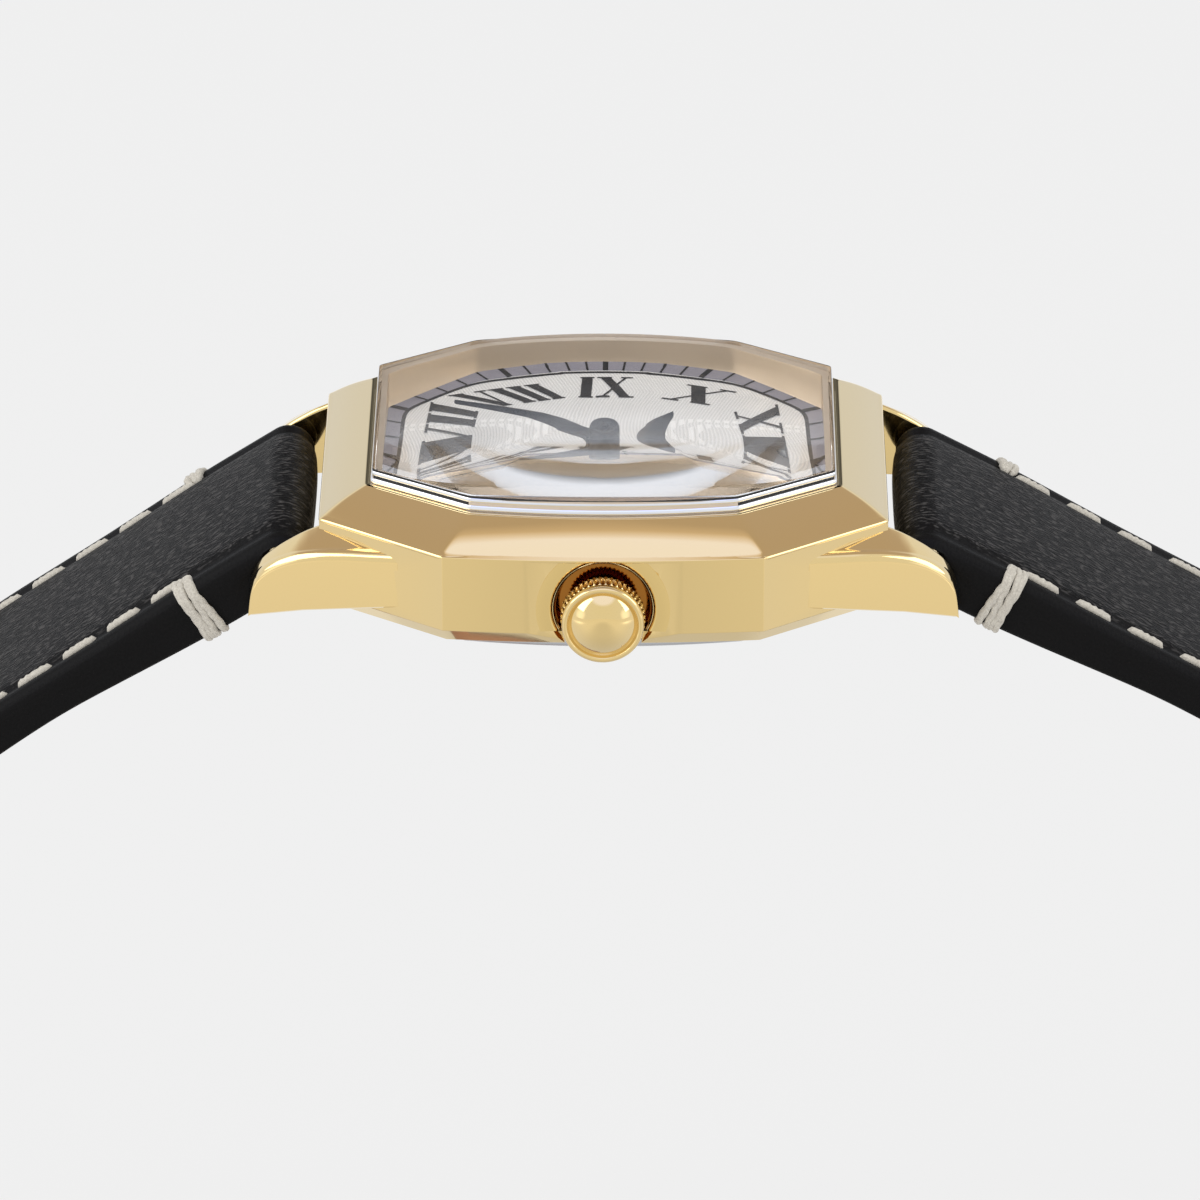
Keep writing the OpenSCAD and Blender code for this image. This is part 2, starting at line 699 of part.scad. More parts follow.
module clutch_wheel() {
    color("silver")
    difference() {
        union() {
            along_stem(clutch_y, clutch_y + 0.55, 0.62);
            translate([0, clutch_y + 0.9, crown_z]) rotate([90, 0, 0]) linear_extrude(0.36)
                polygon(gear_points(clutch_teeth, motion_mod));
        }
        translate([-0.3, clutch_y - 1, crown_z - 0.3]) cube([0.6, 3, 0.6]);
    }
}

module setting_lever() {
    // At rest the lever leans by half its swing, so the pin stays near the groove's middle line
    swing = asin(crown_pull / 2 / lever_arm);
    color("silver") translate([lever_p.x, lever_p.y, 0])
    difference() {
        union() {
            rotate(180 - swing) translate([0, 0, lever_top - lever_t]) linear_extrude(lever_t) {
                translate([0, -0.3]) square([lever_arm, 0.6]);
                circle(r = 0.55);
                translate([lever_arm, 0]) circle(r = 0.3);
            }
            rotate(180 - swing) translate([lever_arm, 0, 0])
                rod(lever_pin_r, lever_top - lever_t, crown_z - 0.3);
        }
        rod(lever_pivot_r + pivot_gap, 0, 5);
    }
}

module crown() {
    teeth_back = crown_front - 1.35;
    color("gold") translate([0, 0, crown_z]) rotate([90, 0, 0]) difference() {
        union() {
            // Domed button, ring and fluted rim, revolved about the stem
            rotate_extrude($fn = 64) polygon(concat(
                [[0, teeth_back + 0.3], [crown_r - 0.3, teeth_back + 0.3], [crown_r, teeth_back + 0.75],
                 [crown_r, crown_front - 0.12], [crown_r - 0.12, crown_front], [crown_r - 0.34, crown_front]],
                [for (i = [0:6]) let (a = 15 * i) [(crown_r - 0.34) * cos(a), crown_front + 0.62 * sin(a)]]));
            translate([0, 0, teeth_back]) linear_extrude(0.8)
                polygon([for (i = [0:2 * crown_teeth - 1]) let (a = 180 * i / crown_teeth,
                    r = crown_r + (i % 2 == 0 ? 0.06 : -0.16)) r * [cos(a), sin(a)]]);
        }
        translate([0, 0, teeth_back - 1]) cylinder(r = tube_r + 0.33, h = 1.75);
        translate([0, 0, teeth_back - 1]) cylinder(r = stem_r, h = 2);
    }
}

module crown_gasket() {
    color("black") translate([0, -crown_front + 1.32, crown_z]) rotate([90, 0, 0])
        rotate_extrude() translate([tube_r + 0.165, 0]) circle(r = 0.165, $fn = 24);
}

module crown_tube() {
    tube_in = case_mid - pocket_d - 0.9;
    color("silver")
    difference() {
        along_stem(-crown_front + 0.9, -tube_in, tube_r - 0.02);
        along_stem(-case_mid - 2, -tube_in + 1, stem_r + run_gap);
    }
}

module case_back() {
    color("silver")
    difference() {
        union() {
            loft([ring(glass_shape, back_lap - 0.15, 0), ring(glass_shape, back_lap, 0.15),
                  ring(glass_shape, back_lap, back_h)]);
            slab(glass_shape, cavity_grow - 0.1, back_h - eps, back_h + 0.35);
        }
        slab(glass_shape, cavity_grow - 0.6, 0.45, back_h + 1);
    }
}

module case_back_gasket() {
    color("black")
    difference() {
        slab(glass_shape, cavity_grow + back_step - 0.02, back_h, back_h + back_step_h - 0.02);
        slab(glass_shape, cavity_grow - 0.08, 0, wall_z);
    }
}

module spring_bar() {
    tube_half = lug_in - 0.35;
    rotate([90, 0, 0]) {
        cylinder(r = bar_r, h = 2 * tube_half, center = true);
        for (s = [-1, 1]) translate([0, 0, s * (tube_half - 0.2)]) cylinder(r = bar_r - 0.1, h = 0.8, center = true);
        cylinder(r = bar_tip_r, h = 2 * (lug_in + tip_reach), center = true);
    }
}

module spring_bar_12() { color("silver") translate([bar_x, 0, bar_z]) spring_bar(); }
module spring_bar_6() { color("silver") translate([-bar_x, 0, bar_z]) spring_bar(); }

// Strap paths. A path is a list of [length, turn] runs that start at the spring bar: the heading is
// measured downwards from level, and the strap's face is on the heading's left.
bend_r = 15;
function bend(turn, r) = [r * turn * PI / 180, turn];
function advance(p, run, d) =
    let (turned = run[1] * d / run[0], r = run[1] == 0 ? 0 : run[0] / (run[1] * PI / 180), a = p[2])
    run[1] == 0 ? [p[0] + d * cos(a), p[1] - d * sin(a), a]
                : [p[0] + r * (sin(a + turned) - sin(a)), p[1] + r * (cos(a + turned) - cos(a)), a + turned];
function walk(path, s, p, i = 0) =
    i >= len(path) ? [p[0] + s * cos(p[2]), p[1] - s * sin(p[2]), p[2]] :
    s <= path[i][0] ? advance(p, path[i], s) :
    walk(path, s - path[i][0], advance(p, path[i], path[i][0]), i + 1);
function total(path, n) = n <= 0 ? 0 : path[n - 1][0] + total(path, n - 1);

ground_z = -stand_h;
head_12 = 28;
head_6 = 33;
// The short strap leaves the picture, turns down, runs straight under the free keeper and turns in
path_12 = [[12, 0], [10, 6], bend(90 - head_12 - 6, bend_r), [11, 0], bend(45, bend_r), [8, 0]];
len_12 = total(path_12, len(path_12));
// The long strap turns down, and its straight run is as long as the stand's height asks
start_6 = [bar_x, bar_z, head_6];
path_6_a = [[12, 0], [12, 9], bend(90 - head_6 - 9, bend_r)];
drop_6 = walk(path_6_a, total(path_6_a, 3), start_6)[1] - bend_r - (ground_z + strap_t / 2);
path_6 = concat(path_6_a, [[drop_6, 0], bend(90, bend_r)]);
start_12 = [bar_x, bar_z, head_12];

function along_12(s) = walk(path_12, s, start_12);
function along_6(s) = walk(path_6, s, start_6);
function ease(t) = let (u = min(1, max(0, t))) u * u * (3 - 2 * u);
function thick(s) = pad_t + (strap_t - pad_t) * ease((s - 3) / 12);
function half_w(s, len) = (strap_w + (tail_w - strap_w) * ease(s / (len * 0.8))) / 2;
function drop(s) = crown_drop * (1 - ease((s - 6) / 16)) + 0.12;
point_r = 8;
function tail_half(s) = let (b = s - (long_strap - point_r))
    b <= 0 ? half_w(s, long_strap) : max(0.8, tail_w / 2 * sqrt(max(0, 1 - pow(b / point_r, 2.4))));

// One ring of the strap: w is the half width, lo and hi are heights along the strap's normal
function strap_ring(at, w, lo, hi, shoulder) =
    let (n = [sin(at[2]), cos(at[2])],
         side = [[w, lo], [w, hi - shoulder], [w - 0.35, hi - shoulder * 0.55], [w - 1.3, hi - shoulder * 0.12]],
         pts = concat(side, [[0, hi]], [for (i = [3:-1:0]) [-side[i].x, side[i].y]]))
    [for (p = pts) [at[0] + p[1] * n.x, p[0], at[1] + p[1] * n.y]];

// One ring of the lining, which is flat on both sides
function lining_ring(at, w, lo, hi) =
    let (n = [sin(at[2]), cos(at[2])])
    [for (p = [[w, lo], [w, hi], [-w, hi], [-w, lo]]) [at[0] + p[1] * n.x, p[0], at[1] + p[1] * n.y]];

// Where the straps have their rings: every few millimetres while the padding thins out, in small
// turns round the bends, and close together at the pointed tip
pad_end = 24;
pad_step = 2;
bend_step = 9;
tip_step = 1;
function bend_stations(path, n, from) =
    [for (k = [n:len(path) - 1]) let (s = total(path, k), parts = max(1, round(abs(path[k][1]) / bend_step)))
        each [for (i = [1:parts]) if (s + path[k][0] * i / parts > from) s + path[k][0] * i / parts]];
stations_12 = concat([for (s = [0:pad_step:pad_end - pad_step]) s], bend_stations(path_12, 2, pad_end - pad_step / 2));
stations_6 = concat([for (s = [0:pad_step:pad_end - pad_step]) s], bend_stations(path_6, 2, pad_end - pad_step / 2),
                    [for (s = [long_strap - point_r:tip_step:long_strap]) s]);
lining_from = 1.75;
lining_end_12 = len_12 - 1.9;
function lining_stations(stations, end) =
    concat([lining_from], [for (s = stations) if (s > lining_from + 0.1 && s < end - 0.1) s], [end]);
fold_r = pad_t / 2;
end_fold_r = strap_t / 2 + 0.1;

module strap_top_12() {
    loft([for (s = stations_12) let (t = thick(s))
        strap_ring(along_12(s), half_w(s, len_12), lining_t - t / 2, t / 2, drop(s))]);
}

module across(at, r, w) {
    translate([at[0], 0, at[1]]) rotate([90, 0, 0]) cylinder(r = r, h = w, center = true);
}

end_12 = along_12(len_12);
slot_w = tongue_w + 0.7;

module place_12(s) {
    at = along_12(s);
    translate([at[0], 0, at[1]]) rotate([0, at[2], 0]) children();
}

module strap_12_top() {
    color("black")
    difference() {
        union() {
            strap_top_12();
            across(start_12, fold_r, strap_w);
            across(end_12, end_fold_r, tail_w);
        }
        across(start_12, bar_r + run_gap, strap_w + 2);
        across(end_12, pin_r + run_gap, tail_w + 2);
        place_12(len_12) translate([-2.7, -slot_w / 2, -4]) cube([8, slot_w, 8]);
    }
}

module strap_12_lining() {
    color("tan")
    loft([for (s = lining_stations(stations_12, lining_end_12)) let (t = thick(s))
        lining_ring(along_12(s), half_w(s, len_12), -t / 2, lining_t - t / 2 - 0.01)]);
}

module strap_6_top() {
    color("black") mirror([1, 0, 0])
    difference() {
        union() {
            loft([for (s = stations_6) let (t = thick(s))
                strap_ring(along_6(s), tail_half(s), lining_t - t / 2, t / 2, drop(s))]);
            across(start_6, fold_r, strap_w);
        }
        across(start_6, bar_r + run_gap, strap_w + 2);
        strap_holes();
    }
}

module strap_6_lining() {
    color("tan") mirror([1, 0, 0])
    difference() {
        loft([for (s = lining_stations(stations_6, long_strap)) let (t = thick(s))
            lining_ring(along_6(s), tail_half(s), -t / 2, lining_t - t / 2 - 0.01)]);
        strap_holes();
    }
}

first_hole = long_strap - 22 - (hole_count - 1) * hole_step;
module strap_holes() {
    for (i = [0:hole_count - 1]) {
        at = along_6(first_hole + i * hole_step);
        translate([at[0], 0, at[1]]) rotate([0, at[2], 0]) cylinder(r = hole_r, h = 6, center = true);
    }
}

// Keepers: leather loops with room for the tail beside the strap
keeper_room = strap_t + 0.3;
module keeper_loop(slack) {
    w = half_w(len_12, len_12) + slack;
    lo = -strap_t / 2 - slack;
    hi = strap_t / 2 + keeper_room;
    rotate([90, 0, 90]) linear_extrude(keeper_w, center = true) difference() {
        translate([0, (lo + hi) / 2]) square([2 * (w + keeper_t), hi - lo + 2 * keeper_t], center = true);
        translate([0, (lo + hi) / 2]) square([2 * w, hi - lo], center = true);
    }
}

fixed_keeper_s = len_12 - 5.3;
free_keeper_s = total(path_12, 3) + 5.5;
module fixed_keeper() { color("black") place_12(fixed_keeper_s) keeper_loop(0.02); }
module free_keeper() { color("black") place_12(free_keeper_s) keeper_loop(0.6); }

// Buckle, drawn along the strap's end: x runs on from the bar, z is the strap's outer side
frame_t = 1.5;
module buckle_frame() {
    out_w = buckle_in + buckle_rim;
    color("gold") place_12(len_12) difference() {
        translate([0, 0, -frame_t / 2 - 0.1]) linear_extrude(frame_t + 0.4) difference() {
            union() {
                translate([-1.1, -buckle_in - 1.3]) square([buckle_len - 1, 2 * (buckle_in + 1.3)]);
                translate([buckle_len - buckle_rim - 1.4, 0]) intersection() {
                    translate([-14.4 + buckle_rim + 1.4, 0]) circle(r = 14.4, $fn = 96);
                    translate([-3, -out_w]) square([buckle_rim + 5, 2 * out_w]);
                }
            }
            translate([-5, -buckle_in]) square([buckle_len - buckle_rim + 5, 2 * buckle_in]);
        }
        rotate([90, 0, 0]) cylinder(r = pin_r, h = 2 * out_w - 1.4, center = true);
        translate([buckle_len - buckle_rim - 1, -tongue_w / 2 - 0.08, frame_t / 2 - 0.55])
            cube([buckle_rim + 3, tongue_w + 0.16, 2]);
        // The side arms are thinner than the front bar
        translate([-4, -out_w, frame_t / 2 - 0.1]) cube([buckle_len - buckle_rim + 3.2, 2 * out_w, 2]);
    }
}

module buckle_bar() {
    color("silver") place_12(len_12) rotate([90, 0, 0])
        cylinder(r = pin_r - 0.02, h = 2 * (buckle_in + buckle_rim) - 1.8, center = true);
}

module tongue() {
    color("gold") place_12(len_12) rotate([90, 0, 0]) linear_extrude(tongue_w, center = true) difference() {
        union() {
            circle(r = pin_r + 0.4);
            polygon([[0, -0.35], [3, -0.2], [buckle_len - buckle_rim, 0.3], [buckle_len + 0.2, 0.32],
                     [buckle_len + 0.5, 0.6], [buckle_len, 0.95], [buckle_len - buckle_rim, 0.95],
                     [3, 0.75], [0, 0.9]]);
        }
        circle(r = pin_r + run_gap);
    }
}

case();
crystal();
crystal_gasket();
dial();
minute_hand();
hour_hand();
cannon_pinion();
hour_wheel();
minute_wheel();
third_wheel();
intermediate_wheel();
rotor();
main_plate();
train_bridge();
bridge_screws();
circuit_board();
quartz_can();
stator();
coil();
battery();
battery_clamp();
movement_holder();
setting_lever();
clutch_wheel();
stem();
crown();
crown_gasket();
crown_tube();
case_back();
case_back_gasket();
spring_bar_12();
spring_bar_6();
strap_12_top();
strap_12_lining();
fixed_keeper();
free_keeper();
strap_6_top();
strap_6_lining();
buckle_frame();
buckle_bar();
tongue();
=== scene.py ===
import bpy, bmesh, math
import numpy as np
from mathutils import Matrix, Vector


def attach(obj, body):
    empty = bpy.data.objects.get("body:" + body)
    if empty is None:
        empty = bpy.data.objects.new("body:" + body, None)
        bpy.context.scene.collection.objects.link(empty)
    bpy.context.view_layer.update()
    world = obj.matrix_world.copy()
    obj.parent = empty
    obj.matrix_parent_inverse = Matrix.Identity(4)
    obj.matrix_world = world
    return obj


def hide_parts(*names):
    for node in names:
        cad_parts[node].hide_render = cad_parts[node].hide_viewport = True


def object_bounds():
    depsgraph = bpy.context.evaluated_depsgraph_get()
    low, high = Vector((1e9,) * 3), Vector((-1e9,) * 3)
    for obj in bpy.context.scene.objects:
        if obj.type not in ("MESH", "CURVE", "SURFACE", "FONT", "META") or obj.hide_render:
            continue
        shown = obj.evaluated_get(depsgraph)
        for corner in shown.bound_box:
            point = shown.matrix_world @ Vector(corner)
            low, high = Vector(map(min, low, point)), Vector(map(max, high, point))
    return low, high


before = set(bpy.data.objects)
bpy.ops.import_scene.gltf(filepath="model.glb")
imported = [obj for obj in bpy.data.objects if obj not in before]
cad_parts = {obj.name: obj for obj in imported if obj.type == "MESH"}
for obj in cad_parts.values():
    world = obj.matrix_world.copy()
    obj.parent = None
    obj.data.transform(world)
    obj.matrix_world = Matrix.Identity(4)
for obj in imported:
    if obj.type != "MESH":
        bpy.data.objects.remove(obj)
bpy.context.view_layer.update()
mm = 0.001
print("frame loaded:", len(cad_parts), "nodes")


# Shader maths: a wire is one socket of a material's tree, and an expression on wires adds Math nodes
class Wire:
    def __init__(self, tree, socket):
        self.tree, self.socket = tree, socket

    def maths(self, operation, *values):
        node = self.tree.nodes.new("ShaderNodeMath")
        node.operation = operation
        for place, value in zip(node.inputs, values):
            connect(self.tree, place, value)
        return Wire(self.tree, node.outputs[0])

    def __add__(self, other): return self.maths("ADD", self, other)
    def __radd__(self, other): return self.maths("ADD", other, self)
    def __sub__(self, other): return self.maths("SUBTRACT", self, other)
    def __rsub__(self, other): return self.maths("SUBTRACT", other, self)
    def __mul__(self, other): return self.maths("MULTIPLY", self, other)
    def __rmul__(self, other): return self.maths("MULTIPLY", other, self)
    def __truediv__(self, other): return self.maths("DIVIDE", self, other)
    def __rtruediv__(self, other): return self.maths("DIVIDE", other, self)
    def __pow__(self, other): return self.maths("POWER", self, other)
    def __rpow__(self, other): return self.maths("POWER", other, self)
    def __abs__(self): return self.maths("ABSOLUTE", self)
    def __gt__(self, other): return self.maths("GREATER_THAN", self, other)
    def __lt__(self, other): return self.maths("LESS_THAN", self, other)
    def fract(self): return self.maths("FRACT", self)

    def clamp(self):
        above = self.maths("MAXIMUM", self, 0.0)
        return above.maths("MINIMUM", above, 1.0)


def connect(tree, place, value):
    if isinstance(value, Wire):
        tree.links.new(value.socket, place)
    else:
        place.default_value = value


def mixColors(tree, share, a, b):
    node = tree.nodes.new("ShaderNodeMix")
    node.data_type = "RGBA"
    connect(tree, node.inputs[0], share)
    for place, value in ((6, a), (7, b)):
        connect(tree, node.inputs[place], value if isinstance(value, Wire) else (*value, 1))
    return Wire(tree, node.outputs[2])


def rayKinds(tree):
    # 1 where the ray that asks comes from the camera, from a reflection, or through glass
    node = tree.nodes.new("ShaderNodeLightPath")
    return [Wire(tree, node.outputs[f"Is {kind} Ray"]) for kind in ("Camera", "Glossy", "Transmission")]


class Finish:
    def __init__(self, name, color, roughness, metallic=0.0, fixed={}):
        self.material = bpy.data.materials.new(name)
        self.material.use_nodes = True
        self.tree = self.material.node_tree
        self.shader = self.tree.nodes["Principled BSDF"]
        self.feed("Base Color", (*color, 1.0))
        self.feed("Roughness", roughness)
        self.feed("Metallic", metallic)
        for place, value in fixed.items():
            self.feed(place, value)

    def feed(self, place, value):
        connect(self.tree, self.shader.inputs[place], value)

    def node(self, kind, settings={}, inputs={}, output=0):
        node = self.tree.nodes.new(kind)
        for key, value in settings.items():
            setattr(node, key, value)
        for place, value in inputs.items():
            connect(self.tree, node.inputs[place], value)
        return Wire(self.tree, node.outputs[output])

    def place(self, scale=1000.0, stretch=(1, 1, 1)):
        # Where a point is on its object, in mm unless another scale is given
        spot = self.node("ShaderNodeTexCoord", output="Object")
        return self.node("ShaderNodeMapping", {}, {"Vector": spot, "Scale": tuple(scale * s for s in stretch)})

    def strapPlace(self):
        # Where a point is on its strap, in mm along and across
        spot = self.node("ShaderNodeUVMap", {"uv_map": "strapLay"})
        return self.node("ShaderNodeMapping", {}, {"Vector": spot, "Scale": (1000, 1000, 1000)})

    def parts(self, vector):
        node = self.tree.nodes.new("ShaderNodeSeparateXYZ")
        connect(self.tree, node.inputs[0], vector)
        return [Wire(self.tree, o) for o in node.outputs]

    def noise(self, vector, scale, detail=3.0, output="Fac"):
        return self.node("ShaderNodeTexNoise", {}, {"Vector": vector, "Scale": scale, "Detail": detail}, output)

    def blend(self, share, a, b):
        return mixColors(self.tree, share, a, b)

    def mottle(self, share, a, b):
        self.feed("Base Color", self.blend(share, a, b))

    def wear(self, low, spread, scale, detail=3.0, stretch=(1, 1, 1)):
        # Uneven shine: roughness = low + spread * noise
        self.feed("Roughness", low + spread * self.noise(self.place(stretch=stretch), scale, detail))

    def relief(self, height, distance, strength=1.0):
        self.feed("Normal", self.node("ShaderNodeBump", {},
                                      {"Height": height, "Distance": distance, "Strength": strength}))


def fromHex(r, g, b):
    # sRGB numbers as linear ones
    return tuple(((c / 255 + 0.055) / 1.055) ** 2.4 if c > 10 else c / 255 / 12.92 for c in (r, g, b))


# Meshes
def makeObject(name, points, faces, finish, body, replaced=(), smooth=True, lay=None, slotName=None, sharp=None):
    # Points, and the strap's own coordinates in lay, are in mm. Edges bent by more than sharp degrees stay crisp.
    mesh = bpy.data.meshes.new(name)
    mesh.from_pydata((np.reshape(points, (-1, 3)) * mm).tolist(), [], [list(map(int, f)) for f in faces])
    if lay is not None:
        layer = mesh.uv_layers.new(name="strapLay")
        corner = np.zeros(len(mesh.loops), int)
        mesh.loops.foreach_get("vertex_index", corner)
        layer.data.foreach_set("uv", (np.reshape(lay, (-1, 2)) * mm)[corner].astype(np.float32).ravel())
    mesh.polygons.foreach_set("use_smooth", np.full(len(mesh.polygons), smooth))
    mesh.validate()
    if smooth:
        faceOutward(mesh)
    mesh.update()
    made = bpy.data.objects.new(name, mesh)
    bpy.context.scene.collection.objects.link(made)
    mesh.materials.append(finish.material)
    settle(made, body, replaced)
    if sharp:
        mesh.set_sharp_from_angle(angle=math.radians(sharp))
    return made


def faceOutward(mesh):
    work = bmesh.new()
    work.from_mesh(mesh)
    bmesh.ops.recalc_face_normals(work, faces=work.faces)
    work.to_mesh(mesh)
    work.free()


def settle(made, body, replaced=()):
    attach(made, body)
    if replaced:
        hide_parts(*replaced)
    return made


def skinFaces(rows, columns, ring=False, start=0):
    # Quads between rows of points, each row closed on itself. A ring also joins its last row to the first one;
    # without it a cap closes each end.
    r, c = np.meshgrid(np.arange(rows if ring else rows - 1), np.arange(columns), indexing="ij")
    a, b = r * columns + c, r * columns + (c + 1) % columns
    up = columns - rows * columns * (r == rows - 1)
    faces = (np.stack([a, b, b + up, a + up], -1).reshape(-1, 4) + start).tolist()
    if not ring:
        faces.append((np.arange(columns)[::-1] + start).tolist())
        faces.append((np.arange(columns) + (rows - 1) * columns + start).tolist())
    return faces


def skinObject(name, skins, finish, body, replaced=(), ring=False, **more):
    # One object from an array of rows of points, or from a list of such arrays
    points, faces, done = [], [], 0
    for rows in skins if isinstance(skins, list) else [skins]:
        faces += skinFaces(*rows.shape[:2], ring, done)
        points.append(rows.reshape(-1, 3))
        done += len(points[-1])
    return makeObject(name, np.concatenate(points), faces, finish, body, replaced, **more)


def softCopy(name, node, finish, body, width, segments=2, reshape=None):
    # The CAD node's own shape with its sharp edges rounded a little. reshape moves its points, in mm.
    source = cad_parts[node].data.copy()
    work = bmesh.new()
    work.from_mesh(source)
    bmesh.ops.remove_doubles(work, verts=work.verts, dist=0.000002)
    bmesh.ops.dissolve_limit(work, angle_limit=math.radians(0.3), verts=work.verts, edges=work.edges)
    work.to_mesh(source)
    work.free()
    if reshape:
        spots = np.zeros(len(source.vertices) * 3)
        source.vertices.foreach_get("co", spots)
        source.vertices.foreach_set("co", (reshape(spots.reshape(-1, 3) / mm) * mm).ravel())
    source.materials.clear()
    source.materials.append(finish.material)
    source.polygons.foreach_set("use_smooth", np.ones(len(source.polygons), bool))
    made = bpy.data.objects.new(name, source)
    bpy.context.scene.collection.objects.link(made)
    edge = made.modifiers.new("edge", "BEVEL")
    edge.width, edge.segments, edge.limit_method = width * mm, segments, "ANGLE"
    edge.angle_limit, edge.use_clamp_overlap = math.radians(28), True
    even = made.modifiers.new("even", "WEIGHTED_NORMAL")
    even.weight, even.keep_sharp = 90, True
    bake(made)
    return settle(made, body, (node,))


def bake(made):
    graph = bpy.context.evaluated_depsgraph_get()
    final = bpy.data.meshes.new_from_object(made.evaluated_get(graph), preserve_all_data_layers=True, depsgraph=graph)
    made.modifiers.clear()
    made.data = final


def circle(count):
    return np.linspace(0, 2 * np.pi, count + 1)[:-1]


def polar(r, angles, z):
    # Points round the dial's axis
    return np.stack([r * np.cos(angles), r * np.sin(angles), np.broadcast_to(z, r.shape)], -1)


def ease(t):
    t = np.clip(t, 0, 1)
    return t * t * (3 - 2 * t)


# The eight-sided outline of the case and the crystal, as in the part's source
def sideShape(length, middle, turnX, turnY, endY):
    dx, dy = length - turnX, turnY - endY
    d = math.hypot(dx, dy)
    radius = (turnX ** 2 + (middle - turnY) ** 2) / (2 * (middle - turnY))
    return dict(length=length, middle=middle, radius=radius, normal=(dy / d, dx / d),
                offset=(dy * turnX + dx * turnY) / d)


def outline(shape, grow=0.0, steps=12):
    # Corners and the points of both arcs, with every side pushed outward by grow
    length, n = shape["length"] + grow, shape["normal"]
    corner = np.array([length, (shape["offset"] + grow - n[0] * length) / n[1]])
    r, cy = shape["radius"] + grow, shape["middle"] - shape["radius"]
    h = shape["offset"] + grow - n[1] * cy
    k = math.sqrt(r * r - h * h)
    turn = np.array([h * n[0] - k * n[1], cy + h * n[1] + k * n[0]])
    a = math.asin(turn[0] / r)
    f = a - 2 * a * np.arange(steps + 1) / steps
    bow = np.stack([r * np.sin(f), cy + r * np.cos(f)], -1)
    flip = corner * [-1, 1]
    return np.concatenate([[corner], bow, [flip], [-corner], -bow, [corner * [1, -1]]])


caseShape = sideShape(13.9, 12.4, 7.8, 12.0, 7.6)
glassShape = sideShape(11.3, 10.1, 6.45, 9.5, 6.3)


def reach(shape, grow, angles, rounding=None):
    # How far the outline lies from the middle in each direction; a power mean rounds the corners
    p = outline(shape, grow)
    q = np.roll(p, -1, 0)
    n = np.stack([(p - q)[:, 1], -(p - q)[:, 0]], -1)
    n /= np.linalg.norm(n, axis=1)[:, None]
    d = (n * p).sum(1)
    n, d = np.where(d[:, None] < 0, -n, n), abs(d)
    share = np.maximum(np.stack([np.cos(angles), np.sin(angles)], -1) @ n.T / d, 1e-6)
    if rounding:
        return 1 / (share ** rounding).sum(1) ** (1 / rounding)
    return 1 / share.max(1)


def directions(shape, grow=0.0, count=720):
    # Even angles round the dial's axis, and those of the outline's corners
    return np.unique(np.concatenate([circle(count), np.arctan2(*outline(shape, grow).T[::-1]) % (2 * np.pi)]))


# Finishes
def goldFinish(name, color, pale, low, high, grooveShade=None):
    # Fine wear in the shine, and a paler tone where the metal is seen edge on. Painted shade: grooves round the crown's
    # axis are darkened toward a deep brown the deeper they lie under the rim's radius.
    look = Finish(name, color, low, 1.0)
    edgeOn = look.node("ShaderNodeLayerWeight", {}, {"Blend": 0.28}, 1)
    tone = look.blend(edgeOn, color, pale)
    if grooveShade:
        # Painted shade inside the grooves, deepest under the rim
        x, y, z = look.parts(look.place())
        radius = (x * x + (z - grooveShade["middle"]) ** 2.0) ** 0.5
        deep = ((grooveShade["rim"] - radius) / grooveShade["depth"]).clamp()
        tone = look.blend((y > grooveShade["front"]) * deep, tone, grooveShade["color"])
    look.feed("Base Color", tone)
    look.wear(low, high - low, 0.5, 4.0)
    look.relief(look.noise(look.place(), 0.12, 1.0), 0.00004, 0.35)
    return look


# Painted shade: the crown's teeth and back, and the pocket's wall and floor, are darkened to deep brown
crownGrooveShade = dict(middle=2.6, rim=2.0, depth=0.3, front=-13.5, color=fromHex(150, 92, 30))
pocketGrooveShade = dict(middle=2.6, rim=2.33, depth=0.06, front=-20.0, color=fromHex(150, 98, 40))
gold = goldFinish("polishedGold", fromHex(233, 204, 140), fromHex(240, 230, 205), 0.05, 0.09)
satinGold = goldFinish("satinGold", fromHex(217, 197, 170), fromHex(221, 207, 188), 0.38, 0.46)
crownGold = goldFinish("crownGold", fromHex(233, 204, 140), fromHex(240, 230, 205), 0.05, 0.09, crownGrooveShade)
pocketGold = goldFinish("pocketGold", fromHex(233, 202, 132), fromHex(240, 228, 198), 0.05, 0.09, pocketGrooveShade)
seatTone = Finish("seatTone", fromHex(204, 189, 171), 0.8, 0.0, {"Specular IOR Level": 0.1})
seatTone.mottle(seatTone.noise(seatTone.place(), 1.2), fromHex(199, 184, 166), fromHex(209, 195, 179))
edgeChrome = Finish("groundEdge", fromHex(232, 234, 238), 0.06, 1.0)
edgeChrome.wear(0.05, 0.05, 1.0)
steel = Finish("satinSteel", fromHex(196, 196, 198), 0.22, 1.0)
steel.wear(0.18, 0.14, 2.0, 4.0, (0.3, 6, 6))
brightSteel = Finish("polishedSteel", fromHex(215, 215, 217), 0.1, 1.0)
brightSteel.wear(0.07, 0.1, 1.5)
brass = Finish("movementBrass", fromHex(214, 180, 110), 0.25, 1.0)
brass.wear(0.2, 0.15, 3.0)

copper = Finish("coilWire", fromHex(196, 112, 70), 0.3, 1.0)
turns = (copper.parts(copper.place())[1] * 12.0).fract()  # twelve turns of wire in each mm
copper.relief(abs(turns - 0.5), 0.00004)

whitePlastic = Finish("whitePlastic", fromHex(226, 226, 222), 0.45)
whitePlastic.relief(whitePlastic.noise(whitePlastic.place(), 6.0), 0.00001)
board = Finish("boardGreen", fromHex(28, 92, 52), 0.35)
boardCells = board.node("ShaderNodeTexVoronoi", {"feature": "DISTANCE_TO_EDGE"},
                        {"Vector": board.place(), "Scale": 1.6})
board.mottle(boardCells > 0.08, fromHex(190, 160, 90), fromHex(28, 92, 52))
blackRubber = Finish("blackRubber", fromHex(26, 26, 27), 0.6)
blackRubber.relief(blackRubber.noise(blackRubber.place(), 8.0), 0.00001)

